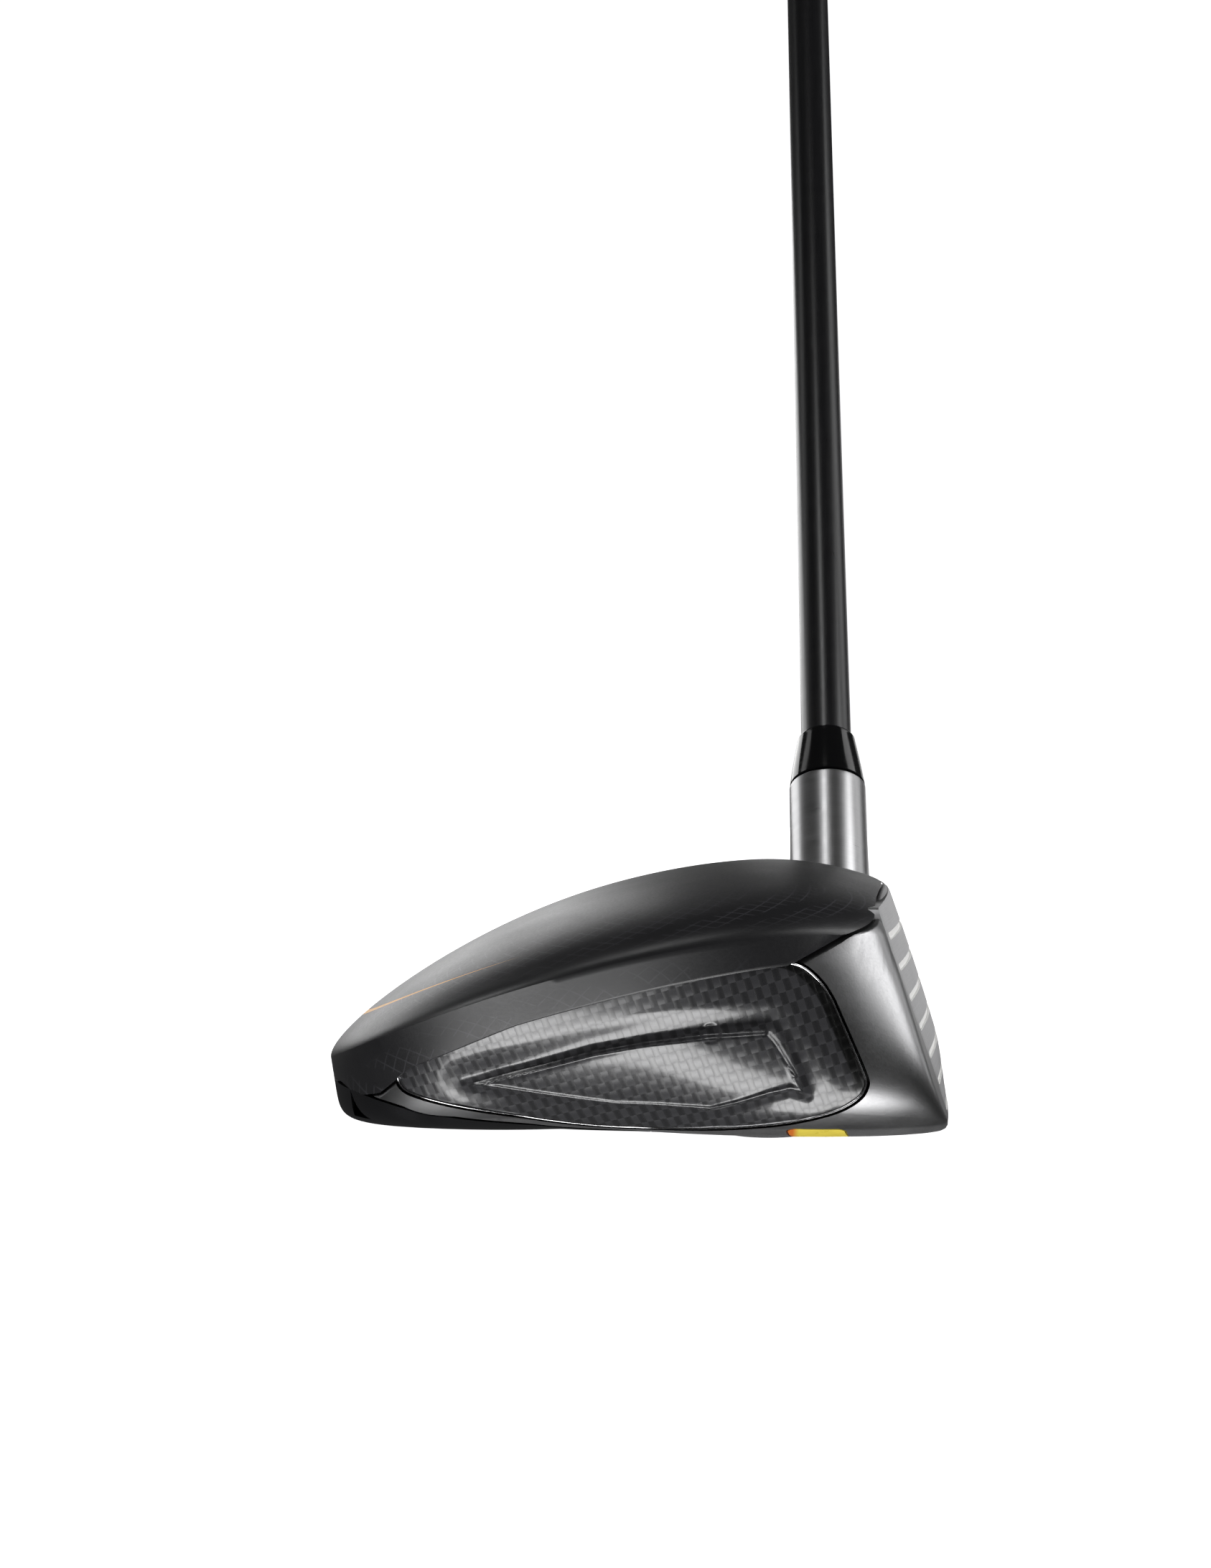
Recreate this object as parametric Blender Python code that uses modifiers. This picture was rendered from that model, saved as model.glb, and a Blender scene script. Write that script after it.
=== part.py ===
"""Fairway wood golf club, modelled as an assembly of separate pieces.

Frame: +X is the target line that the face looks along, +Y runs from toe to heel and +Z is up.
The origin is on the ground under the middle of the sole, where the head rests at address.
The head formulas work in millimetres, and each mesh is scaled to metres when it is made.
"""

from math import cos, pi, radians, sin, tan

import bmesh
import bpy
import numpy as np

MM = 0.001

# Driving sizes of the club, in millimetres and degrees.
CLUB_LENGTH = 1086.0
LIE = radians(57.5)
LOFT = radians(17.0)
SHAFT_AXIS_Y = 30.0
GAP = 0.3

# Head outline seen from above, measured from its widest section.
WIDEST_X = -30.0
REAR_REACH = 43.3
FRONT_REACH = 50.0
TOE_REACH = 51.0
HEEL_REACH = 55.0
OUTLINE_POWER = 2.3

# Head profile: the shoulder line, the crown above it and the sole below it.
SHOULDER_HEIGHT = 30.1
SHOULDER_SLOPE = 0.02
SHOULDER_DROP = 0.0036
FRONT_DROP_START = -14.0
FRONT_DROP = 0.0045
CROWN_RISE = 8.0
SOLE_CAMBER_RADIUS = 230.0
SOLE_FLAT_DEPTH = 0.12
SOLE_RISE_START = -30.0
SOLE_RISE = 0.015
TOE_TAPER = 10.0
FRONT_TAPER = -9.0
REAR_TAPER = 1.4
# How square the wall's lower corner is, across and up, at the side, the front and the rear.
WIDTH_POWERS = (6.0, 9.0, 22.0)
DROP_POWERS = (3.2, 4.2, 9.0)

# Face plane: its leading edge, and its bulge and roll radii.
LEADING_EDGE_X = 14.5
LEADING_EDGE_Z = 3.0
BULGE_RADIUS = 260.0
ROLL_RADIUS = 300.0
ROLL_CENTRE_Z = 17.0
FACE_CORNER = 2.0

# Walls of the head.
BODY_WALL = 1.2
CROWN_WALL = 1.0
LEDGE_ROOM = 0.7
LEDGE_HEIGHT = 0.16
LIP_DROP = 0.03
TOPLINE_BACK = 0.9
LEDGE_BLEND = 0.12
FACE_THICKNESS = 2.2
PANEL_THICKNESS = 1.0
PANEL_RECESS = 0.5
TRIM_WIRE = 0.35
WINDOW_GAP = 0.6

# Crown edge: angle from straight toe or heel, positive to the front, and how far the edge lies
# below the shoulder line as a share of the wall, or above it where negative.
CROWN_EDGE_ANGLES = (-90.0, -58.0, -50.0, -44.0, -35.0, -15.0, 5.0, 24.0, 32.0, 41.0)
CROWN_EDGE_DROPS = (0.36, 0.38, 0.58, 0.58, 0.38, 0.25, 0.20, 0.15, 0.0, -0.22)

# Side window in the body: corners in the X-Z plane and their radii.
TOE_WINDOW = ((-60.5, 8.2), (-33.0, 19.8), (-5.4, 25.4), (1.9, 9.4), (-9.0, 4.6), (-28.0, 2.8))
HEEL_WINDOW = ((-60.5, 8.2), (-33.0, 19.4), (-16.5, 22.8), (-11.5, 10.0), (-18.0, 5.6), (-32.0, 5.0))
WINDOW_RADII = (2.6, 60.0, 4.0, 4.0, 12.0, 30.0)

# Face insert outline in the Y-Z plane, toe bottom corner first, going round towards the heel.
FACE_CORNERS = ((-27.0, 4.6), (28.0, 4.6), (36.0, 31.0), (0.0, 33.6), (-38.5, 32.2))
FACE_RADII = (3.0, 3.0, 3.0, 120.0, 1.5)

# Sole weight, its screw and the port that they sit in.
WEIGHT_X = -11.5
WEIGHT_Y = -14.0
WEIGHT_RADIUS = 7.0
WEIGHT_FACE_Z = 0.2
WEIGHT_HEIGHT = 5.0
PORT_WALL = 1.7
SCREW_HEAD_RADIUS = 4.2
SCREW_HEAD_HEIGHT = 2.4
SCREW_HEAD_INSET = 0.3
SCREW_RADIUS = 2.4
SCREW_LENGTH = 11.0
SOCKET_RADIUS = 1.9
SOCKET_DEPTH = 1.5

# Rear weight cartridge: its top line in the X-Z plane, and its wall.
CARTRIDGE_TOP = ((-80.0, 5.6), (-58.0, 5.3), (-50.0, 4.2), (-40.0, 2.6), (-27.0, 1.6))
CARTRIDGE_HALF_WIDTH = 34.0
CARTRIDGE_WALL = 3.2

# Sole badge and the braces behind the face.
BADGE_X = -4.5
BADGE_Y = -31.0
BADGE_LENGTH = 14.0
BADGE_WIDTH = 9.0
BADGE_WALL = 0.5
BRACE_X = -10.5
BRACE_Y = 26.0
BRACE_THICKNESS = 2.4
BRACE_DEPTH = 4.5

# Stations along the shaft axis, measured from the ground.
HOSEL_START = 14.0
HOSEL_END = 56.0
HOSEL_RADIUS = 6.6
HOSEL_FLOOR = 3.0
FERRULE_END = 66.3
FERRULE_TOP_RADIUS = 5.0
SHAFT_TIP_RADIUS = 4.4
SHAFT_BUTT_RADIUS = 7.6
SHAFT_WALL = 1.3
SHAFT_TAPER_POWER = 1.6
TIP_WEIGHT_LENGTH = 22.0
GRIP_LENGTH = 267.0
GRIP_MOUTH_RADIUS = 9.6
GRIP_BUTT_RADIUS = 13.4
GRIP_CAP_LENGTH = 7.0
GRIP_TAPE_WALL = 0.35

HEAD_STEPS = 48
CORNER_WIDTH = 0.9
ROUND_STEPS = 20
OUTLINE_STEPS = 6


# ---------------------------------------------------------------- scene helpers

def clear_scene():
    for obj in list(bpy.data.objects):
        bpy.data.objects.remove(obj, do_unlink=True)


def make_collection(name):
    collection = bpy.data.collections.new(name)
    bpy.context.scene.collection.children.link(collection)
    return collection


def make_material(name, colour, roughness, metallic):
    material = bpy.data.materials.new(name)
    material.use_nodes = True
    shader = material.node_tree.nodes["Principled BSDF"]
    shader.inputs["Base Color"].default_value = (*colour, 1.0)
    shader.inputs["Roughness"].default_value = roughness
    shader.inputs["Metallic"].default_value = metallic
    return material


def add_object(name, data, collection, material=None):
    obj = bpy.data.objects.new(name, data)
    collection.objects.link(obj)
    if material is not None:
        data.materials.append(material)
    return obj


def as_cutter(obj):
    obj.hide_render = True
    obj.display_type = "WIRE"
    return obj


def boolean(obj, operation, other, solver="EXACT"):
    modifier = obj.modifiers.new(operation.title() + " " + other.name, "BOOLEAN")
    modifier.operation = operation
    modifier.object = other
    modifier.solver = solver


def solidify(obj, thickness, offset):
    modifier = obj.modifiers.new("Wall", "SOLIDIFY")
    modifier.thickness = thickness * MM
    modifier.offset = offset


def shade(obj):
    obj.data.shade_smooth()
    obj.data.set_sharp_from_angle(angle=radians(35))


def grid_mesh(name, points, wrap):
    """Mesh of quads over a grid of points in millimetres. Points that meet at a pole become one."""
    rows, columns = points.shape[:2]
    mesh = bpy.data.meshes.new(name)
    built = bmesh.new()
    made = [[built.verts.new(point) for point in row] for row in points * MM]
    last = columns if wrap else columns - 1
    for i in range(rows - 1):
        for j in range(last):
            k = (j + 1) % columns
            built.faces.new((made[i][j], made[i + 1][j], made[i + 1][k], made[i][k]))
    bmesh.ops.remove_doubles(built, verts=built.verts, dist=1e-6)
    built.to_mesh(mesh)
    built.free()
    return mesh


# ---------------------------------------------------------------- head surface

def smooth_step(value, low, high):
    share = np.clip((value - low) / (high - low), 0.0, 1.0)
    return share * share * (3.0 - 2.0 * share)


def smooth_min(first, second, width):
    near = np.maximum(width - np.abs(first - second), 0.0) / width
    return np.minimum(first, second) - near * near * width / 4.0


def face_x(y, z):
    """X of the face: a plane leaned back by the loft, with bulge along Y and roll along Z."""
    bulge = y * y / (2.0 * BULGE_RADIUS)
    roll = (z - ROLL_CENTRE_Z) ** 2 / (2.0 * ROLL_RADIUS)
    return LEADING_EDGE_X - tan(LOFT) * (z - LEADING_EDGE_Z) - bulge - roll


def shoulder_z(x):
    behind = np.maximum(-x, 0.0)
    ahead = np.clip(x - FRONT_DROP_START, 0.0, 24.0)
    rear_fall = SHOULDER_SLOPE * behind + SHOULDER_DROP * behind * behind
    return SHOULDER_HEIGHT - rear_fall - FRONT_DROP * ahead * ahead


def sole_z(x, y):
    rise = SOLE_RISE * np.maximum(SOLE_RISE_START - x, 0.0)
    return y * y / (2.0 * SOLE_CAMBER_RADIUS) + rise - SOLE_FLAT_DEPTH


def outline_reach(turn, inset):
    """Distance from the widest section's middle to the shoulder line, along the angle turn."""
    forward = np.where(np.cos(turn) > 0.0, FRONT_REACH, REAR_REACH) - inset
    sideways = np.where(np.sin(turn) < 0.0, TOE_REACH, HEEL_REACH) - inset
    total = (np.abs(np.cos(turn)) / forward) ** OUTLINE_POWER
    total = total + (np.abs(np.sin(turn)) / sideways) ** OUTLINE_POWER
    return total ** (-1.0 / OUTLINE_POWER)


def blend_round(turn, side, front, rear):
    """A value that is one thing at toe and heel, another at the front and another at the rear."""
    to_front = smooth_step(np.cos(turn), 0.0, 0.85)
    to_rear = smooth_step(-np.cos(turn), 0.35, 0.95)
    return side + (front - side) * to_front + (rear - side) * to_rear


def head_point(turn, level, inset=0.0):
    """Point of the head's skin, in millimetres.

    turn is the angle round the head. level runs from -1 at the crown's middle to 0 at the
    shoulder line and 1 at the sole's middle. inset moves the skin inwards.
    """
    turn, level = np.broadcast_arrays(turn, level)
    full = outline_reach(turn, 0.0)
    reach = outline_reach(turn, inset)
    up = np.sin(np.clip(1.0 + level, 0.0, 1.0) * pi / 2.0)
    crown_x = WIDEST_X + up * reach * np.cos(turn)
    crown_y = up * reach * np.sin(turn)
    dome = (CROWN_RISE - inset) * np.sqrt(np.maximum(1.0 - up * up, 0.0))
    crown_z = shoulder_z(WIDEST_X + up * full * np.cos(turn)) + dome
    down = np.clip(level, 0.0, 1.0) * pi / 2.0
    width = np.abs(np.cos(down)) ** (2.0 / blend_round(turn, *WIDTH_POWERS))
    width = np.where(level < 1.0, width, 0.0)
    drop = np.sin(down) ** (2.0 / blend_round(turn, *DROP_POWERS))
    taper = blend_round(turn, TOE_TAPER, FRONT_TAPER, REAR_TAPER)
    wall_reach = (reach - taper * drop) * width
    wall_x = WIDEST_X + wall_reach * np.cos(turn)
    wall_y = wall_reach * np.sin(turn)
    top_z = shoulder_z(WIDEST_X + full * np.cos(turn))
    wall_z = top_z - (top_z - sole_z(wall_x, wall_y) - inset) * drop
    on_crown = level < 0.0
    x = np.where(on_crown, crown_x, wall_x)
    y = np.where(on_crown, crown_y, wall_y)
    z = np.where(on_crown, crown_z, wall_z)
    x = smooth_min(x, face_x(y, z) - inset, FACE_CORNER)
    return np.stack([x, y, z], axis=-1)


def level_of_drop(turn, drop):
    """Level at which the wall has come down by this share of its height."""
    power = blend_round(turn, *DROP_POWERS)
    below = np.arcsin(np.clip(drop, 0.0, 1.0) ** (power / 2.0)) * 2.0 / pi
    return np.where(drop > 0.0, below, drop)


def level_of_width(turn, width):
    """Level at which the wall and sole have come in to this share of their reach."""
    power = blend_round(turn, *WIDTH_POWERS)
    return np.arccos(np.clip(width, 0.0, 1.0) ** (power / 2.0)) * 2.0 / pi


def crown_edge(turn, lower=0.0):
    """Level of the crown's edge, by the angle from straight toe or heel. lower moves it down."""
    angle = np.degrees(np.arcsin(np.clip(np.cos(turn), -1.0, 1.0)))
    drop = np.interp(angle, CROWN_EDGE_ANGLES, CROWN_EDGE_DROPS) + lower
    level = level_of_drop(turn, drop)
    meets_face = level_of_topline(turn, lower)
    return np.minimum(level, meets_face)


def level_of_topline(turn, lower):
    """Level at which the crown runs into the face, found by halving."""
    low = np.full_like(turn, -0.95)
    high = np.full_like(turn, 1.0)
    for _ in range(24):
        middle = (low + high) / 2.0
        point = head_point(turn, np.minimum(middle, 0.0))
        up = np.sin(np.clip(1.0 + middle, 0.0, 1.0) * pi / 2.0)
        free_x = WIDEST_X + up * outline_reach(turn, 0.0) * np.cos(turn)
        before = free_x < face_x(point[..., 1], point[..., 2]) - TOPLINE_BACK * (1.0 - lower / LIP_DROP)
        low = np.where(before, middle, low)
        high = np.where(before, high, middle)
    return low


def inside_wall(x, y, z):
    """True where a point lies inside the head's side wall."""
    turn = np.arctan2(y, x - WIDEST_X)
    reach = outline_reach(turn, 0.0)
    top_z = shoulder_z(WIDEST_X + reach * np.cos(turn))
    drop = np.clip((top_z - z) / (top_z - sole_z(x, y)), 0.0, 1.0)
    down = np.arcsin(drop ** (blend_round(turn, *DROP_POWERS) / 2.0))
    width = np.abs(np.cos(down)) ** (2.0 / blend_round(turn, *WIDTH_POWERS))
    taper = blend_round(turn, TOE_TAPER, FRONT_TAPER, REAR_TAPER)
    return np.hypot(x - WIDEST_X, y) < (reach - taper * drop) * width


def wall_y(x, z, side):
    """Y of the side wall over a point of the X-Z plane, found by halving. side is -1 at the toe."""
    near = np.zeros_like(x)
    far = np.full_like(x, 60.0)
    for _ in range(24):
        middle = (near + far) / 2.0
        inside = inside_wall(x, side * middle, z)
        near = np.where(inside, middle, near)
        far = np.where(inside, far, middle)
    return side * near


def rounded_outline(corners, radii, steps):
    """Closed outline with each corner turned by an arc, as points in order."""
    corners = [np.array(corner, float) for corner in corners]
    count = len(corners)
    points = []
    for i in range(count):
        corner = corners[i]
        before = corners[i - 1] - corner
        after = corners[(i + 1) % count] - corner
        before_length = np.linalg.norm(before)
        after_length = np.linalg.norm(after)
        before = before / before_length
        after = after / after_length
        half = np.arccos(np.clip(before @ after, -1.0, 1.0)) / 2.0
        longest = 0.49 * min(before_length, after_length) * tan(half)
        radius = min(radii[i], longest)
        middle = before + after
        middle = middle / np.linalg.norm(middle)
        centre = corner + middle * radius / sin(half)
        start = corner + before * radius / tan(half) - centre
        end = corner + after * radius / tan(half) - centre
        turn = np.arctan2(start[0] * end[1] - start[1] * end[0], start @ end)
        for share in np.linspace(0.0, 1.0, steps):
            angle = turn * share
            rotate = np.array([[cos(angle), -sin(angle)], [sin(angle), cos(angle)]])
            points.append(centre + rotate @ start)
    return np.array(points)


def shrink_outline(points, inset):
    """Moves each point of a closed outline inwards by inset, square to the outline."""
    along = np.roll(points, -1, axis=0) - np.roll(points, 1, axis=0)
    normal = np.stack([-along[:, 1], along[:, 0]], axis=-1)
    normal = normal / np.linalg.norm(normal, axis=-1, keepdims=True)
    area = np.sum(points[:, 0] * np.roll(points[:, 1], -1) - np.roll(points[:, 0], -1) * points[:, 1])
    return points + normal * inset * np.sign(area)


def spread_outline(points, rings, centre):
    """Grid that fills an outline: rings from its centre out to its edge."""
    shares = np.linspace(0.0, 1.0, rings)[:, None, None]
    return centre + shares * (points - centre)


# ---------------------------------------------------------------- head pieces

TURNS = np.linspace(0.0, 2.0 * pi, HEAD_STEPS, endpoint=False)


def skin_rows(start, end, rows, inset):
    """Rows of the skin between two levels, each given at every turn."""
    shares = np.linspace(0.0, 1.0, rows)[:, None]
    return head_point(TURNS[None, :], start + (end - start) * shares, inset)


def sole_rows(rows, inset):
    """Rows from the lower corner in to the sole's middle."""
    widths = np.linspace(CORNER_WIDTH, 0.0, rows)[:, None]
    return head_point(TURNS[None, :], level_of_width(TURNS[None, :], widths), inset)


def make_envelope(name, inset, collection):
    """The whole closed skin of the head, as a cutter."""
    shoulder = np.zeros(HEAD_STEPS)
    corner = level_of_width(TURNS, CORNER_WIDTH)
    crown = skin_rows(shoulder - 1.0, shoulder, 14, inset)
    wall = skin_rows(shoulder, corner, 14, inset)
    points = np.concatenate([crown, wall[1:], sole_rows(6, inset)[1:]])
    return as_cutter(add_object(name, grid_mesh(name, points, wrap=True), collection))


def make_crown(name, lower, collection, material=None):
    """Open crown surface down to its edge, which lower moves further down."""
    edge = crown_edge(TURNS, lower)
    bend = np.minimum(edge, 0.0)
    dome = skin_rows(np.full(HEAD_STEPS, -1.0), bend, 11, 0.0)
    band = skin_rows(bend, edge, 4, 0.0)
    points = np.concatenate([dome, band[1:]])
    return add_object(name, grid_mesh(name, points, True), collection, material)


def make_body(collection, material):
    """Cast body: outer skin with a sunk ledge under the crown, and a thinner inner skin."""
    edge = crown_edge(TURNS)
    lip = crown_edge(TURNS, LIP_DROP)
    ledge_top = np.minimum(edge - LEDGE_HEIGHT, edge)
    sunk = CROWN_WALL + LEDGE_ROOM
    corner = level_of_width(TURNS, CORNER_WIDTH)
    ledge = skin_rows(ledge_top, edge, 3, sunk)
    outer = skin_rows(lip, corner, 12, 0.0)
    outer = np.concatenate([outer, sole_rows(6, 0.0)[1:]])
    inner_ledge = skin_rows(ledge_top, edge, 3, sunk + BODY_WALL)
    lower = np.minimum(edge + LEDGE_BLEND, corner - 0.02)
    inner = skin_rows(lower, corner, 10, BODY_WALL)
    inner = np.concatenate([inner, sole_rows(6, BODY_WALL)[1:]])
    points = np.concatenate([inner[::-1], inner_ledge[::-1], ledge, outer])
    return add_object("head_body", grid_mesh("head_body", points, True), collection, material)


def face_outline(grow):
    return shrink_outline(rounded_outline(FACE_CORNERS, FACE_RADII, OUTLINE_STEPS), -grow)


def make_face(name, grow, thickness, offset, collection, material=None):
    """Face plate: its outline filled with rings and laid on the face surface."""
    flat = spread_outline(face_outline(grow), 7, np.array([0.0, 18.0]))
    y, z = flat[..., 0], flat[..., 1]
    points = np.stack([face_x(y, z), y, z], axis=-1)
    face = add_object(name, grid_mesh(name, points, True), collection, material)
    solidify(face, thickness, offset)
    return face


def window_points(inset, rings, recess, side):
    """Side window filled with rings and laid on the wall, sunk by recess along Y."""
    corners = TOE_WINDOW if side < 0 else HEEL_WINDOW
    outline = shrink_outline(rounded_outline(corners, WINDOW_RADII, OUTLINE_STEPS), inset)
    flat = spread_outline(outline, rings, outline.mean(axis=0))
    x, z = flat[..., 0], flat[..., 1]
    return np.stack([x, wall_y(x, z, side) - side * recess, z], axis=-1)


def make_panel(name, side, inset, recess, thickness, offset, collection, material=None):
    points = window_points(inset, 6, recess, side)
    if side < 0:
        points = points[:, ::-1]
    panel = add_object(name, grid_mesh(name, points, True), collection, material)
    solidify(panel, thickness, offset)
    return panel


def make_trim(name, side, collection, material):
    """Thin bright wire round the panel."""
    ring = window_points(WINDOW_GAP + TRIM_WIRE, 2, PANEL_RECESS, side)[-1]
    curve = bpy.data.curves.new(name, "CURVE")
    curve.dimensions = "3D"
    curve.bevel_depth = TRIM_WIRE * MM
    curve.bevel_resolution = 1
    spline = curve.splines.new("POLY")
    spline.points.add(len(ring) - 1)
    for point, place in zip(spline.points, ring * MM):
        point.co = (*place, 1.0)
    spline.use_cyclic_u = True
    return add_object(name, curve, collection, material)


# ---------------------------------------------------------------- turned and boxed pieces

def turned(name, profile, collection, material=None):
    """Profile of (radius, height) points, in millimetres, turned round the object's Z.

    It runs down the outer side. A profile that touches the axis stays open there.
    """
    count = len(profile)
    closed = min(radius for radius, _ in profile) > 0.0
    corners = [(radius * MM, 0.0, height * MM) for radius, height in profile]
    edges = [(i, (i + 1) % count) for i in range(count if closed else count - 1)]
    mesh = bpy.data.meshes.new(name)
    mesh.from_pydata(corners, edges, [])
    obj = add_object(name, mesh, collection, material)
    screw = obj.modifiers.new("Turn", "SCREW")
    screw.steps = ROUND_STEPS
    screw.render_steps = ROUND_STEPS
    screw.use_merge_vertices = True
    screw.merge_threshold = 0.00001
    return obj


def cylinder(name, radius, low, high, collection, material=None):
    profile = [(0.0, high), (radius, high), (radius, low), (0.0, low)]
    return turned(name, profile, collection, material)


def box(name, size, centre, collection, material=None):
    mesh = bpy.data.meshes.new(name)
    built = bmesh.new()
    bmesh.ops.create_cube(built, size=1.0)
    bmesh.ops.scale(built, vec=[side * MM for side in size], verts=built.verts)
    built.to_mesh(mesh)
    built.free()
    obj = add_object(name, mesh, collection, material)
    obj.location = [place * MM for place in centre]
    return obj


def plate(name, outline, half_thickness, collection, material=None):
    """Flat outline in the object's X-Y plane, thick along Z."""
    curve = bpy.data.curves.new(name, "CURVE")
    curve.dimensions = "2D"
    curve.fill_mode = "BOTH"
    curve.extrude = half_thickness * MM
    spline = curve.splines.new("POLY")
    spline.points.add(len(outline) - 1)
    for point, (x, y) in zip(spline.points, outline):
        point.co = (x * MM, y * MM, 0.0, 1.0)
    spline.use_cyclic_u = True
    return add_object(name, curve, collection, material)


def curve_to_mesh(obj, collection):
    """Replaces a curve object by a closed mesh of the same name and place."""
    graph = bpy.context.evaluated_depsgraph_get()
    mesh = bpy.data.meshes.new_from_object(obj.evaluated_get(graph))
    built = bmesh.new()
    built.from_mesh(mesh)
    bmesh.ops.remove_doubles(built, verts=built.verts, dist=1e-6)
    bmesh.ops.recalc_face_normals(built, faces=built.faces)
    built.to_mesh(mesh)
    built.free()
    name, matrix = obj.name, obj.matrix_world.copy()
    bpy.data.objects.remove(obj)
    made = add_object(name, mesh, collection)
    made.matrix_world = matrix
    return made


# ---------------------------------------------------------------- pieces on the shaft axis

def shaft_radius(station):
    butt = CLUB_LENGTH - GRIP_CAP_LENGTH
    share = np.clip((station - FERRULE_END) / (butt - FERRULE_END), 0.0, 1.0)
    return SHAFT_TIP_RADIUS + (SHAFT_BUTT_RADIUS - SHAFT_TIP_RADIUS) * share ** SHAFT_TAPER_POWER


def tube_profile(stations, outer, inner):
    """Closed profile of a tube: down its outer side and back up its bore."""
    down = [(outer(station), station) for station in reversed(stations)]
    back = [(inner(station), station) for station in stations]
    return down + back


def make_hosel(collection, material):
    """Steel hosel tube with a closed foot, which the shaft's tip stands in."""
    bore = SHAFT_TIP_RADIUS + GAP
    floor = HOSEL_START + HOSEL_FLOOR
    chamfer = 0.4
    profile = [
        (0.0, floor),
        (bore, floor),
        (bore, HOSEL_END),
        (HOSEL_RADIUS - chamfer, HOSEL_END),
        (HOSEL_RADIUS, HOSEL_END - chamfer),
        (HOSEL_RADIUS, HOSEL_START),
        (0.0, HOSEL_START),
    ]
    return turned("hosel", profile, collection, material)


def make_ferrule(collection, material):
    """Plastic ring over the joint: a slight barrel with a rounded shoulder at its top."""
    low = HOSEL_END + GAP
    bore = SHAFT_TIP_RADIUS + GAP
    base = HOSEL_RADIUS - 0.2
    barrel = [
        (FERRULE_TOP_RADIUS + (base - FERRULE_TOP_RADIUS) * sin(share * pi / 2.0),
         FERRULE_END - 1.2 - (FERRULE_END - 1.2 - low) * share)
        for share in np.linspace(0.0, 1.0, 6)
    ]
    profile = [(FERRULE_TOP_RADIUS - 0.25, FERRULE_END), *barrel, (bore, low), (bore, FERRULE_END)]
    return turned("ferrule", profile, collection, material)


def make_shaft(collection, material):
    foot = HOSEL_START + HOSEL_FLOOR + GAP
    top = CLUB_LENGTH - GRIP_CAP_LENGTH
    stations = [foot, *np.linspace(FERRULE_END, top, 9)]
    profile = tube_profile(stations, shaft_radius, lambda s: shaft_radius(s) - SHAFT_WALL)
    return turned("shaft", profile, collection, material)


def make_tip_weight(collection, material):
    foot = HOSEL_START + HOSEL_FLOOR + GAP
    radius = SHAFT_TIP_RADIUS - SHAFT_WALL - GAP
    return cylinder("tip_weight", radius, foot, foot + TIP_WEIGHT_LENGTH, collection, material)


def tape_bore(station):
    return shaft_radius(station) + GAP


def tape_radius(station):
    return tape_bore(station) + GRIP_TAPE_WALL


def grip_bore(station):
    return tape_radius(station) + GAP


def grip_radius(station):
    """Straight taper from the mouth, easing into the wider butt."""
    mouth = CLUB_LENGTH - GRIP_LENGTH
    share = np.clip((station - mouth) / (GRIP_LENGTH - GRIP_CAP_LENGTH), 0.0, 1.0)
    return GRIP_MOUTH_RADIUS + (GRIP_BUTT_RADIUS - GRIP_MOUTH_RADIUS) * share ** 1.3


def make_grip(collection, rubber, tape, cap_material):
    mouth = CLUB_LENGTH - GRIP_LENGTH
    top = CLUB_LENGTH - GRIP_CAP_LENGTH
    stations = list(np.linspace(mouth, top, 9))
    grip = turned("grip", tube_profile(stations, grip_radius, grip_bore), collection, rubber)
    wrap_stations = [mouth + 3.0, *stations[1:]]
    wrap_profile = tube_profile(wrap_stations, tape_radius, tape_bore)
    wrap = turned("grip_tape", wrap_profile, collection, tape)
    low = top + GAP
    rounding = 1.5
    cap_profile = [(0.0, CLUB_LENGTH), (GRIP_BUTT_RADIUS - rounding, CLUB_LENGTH)]
    for angle in np.linspace(0.0, pi / 2.0, 4)[1:]:
        reach = GRIP_BUTT_RADIUS - rounding + rounding * sin(angle)
        cap_profile.append((reach, CLUB_LENGTH - rounding + rounding * cos(angle)))
    cap_profile += [(GRIP_BUTT_RADIUS, low), (0.0, low)]
    cap = turned("grip_cap", cap_profile, collection, cap_material)
    return [grip, wrap, cap]


# ---------------------------------------------------------------- sole pieces

def make_port(collection, material, envelope):
    """Cup welded into the sole, with a threaded boss for the weight's screw."""
    roof = WEIGHT_FACE_Z + WEIGHT_HEIGHT + GAP
    pocket = WEIGHT_RADIUS + GAP
    bore = SCREW_RADIUS + GAP
    boss = bore + PORT_WALL
    tip = WEIGHT_FACE_Z + SCREW_HEAD_INSET + SCREW_HEAD_HEIGHT + SCREW_LENGTH + GAP
    profile = [
        (0.0, tip + PORT_WALL),
        (boss, tip + PORT_WALL),
        (boss, roof + PORT_WALL),
        (pocket + PORT_WALL, roof + PORT_WALL),
        (pocket + PORT_WALL, -1.0),
        (pocket, -1.0),
        (pocket, roof),
        (bore, roof),
        (bore, tip),
        (0.0, tip),
    ]
    port = turned("weight_port", profile, collection, material)
    boolean(port, "INTERSECT", envelope)
    return port


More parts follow.
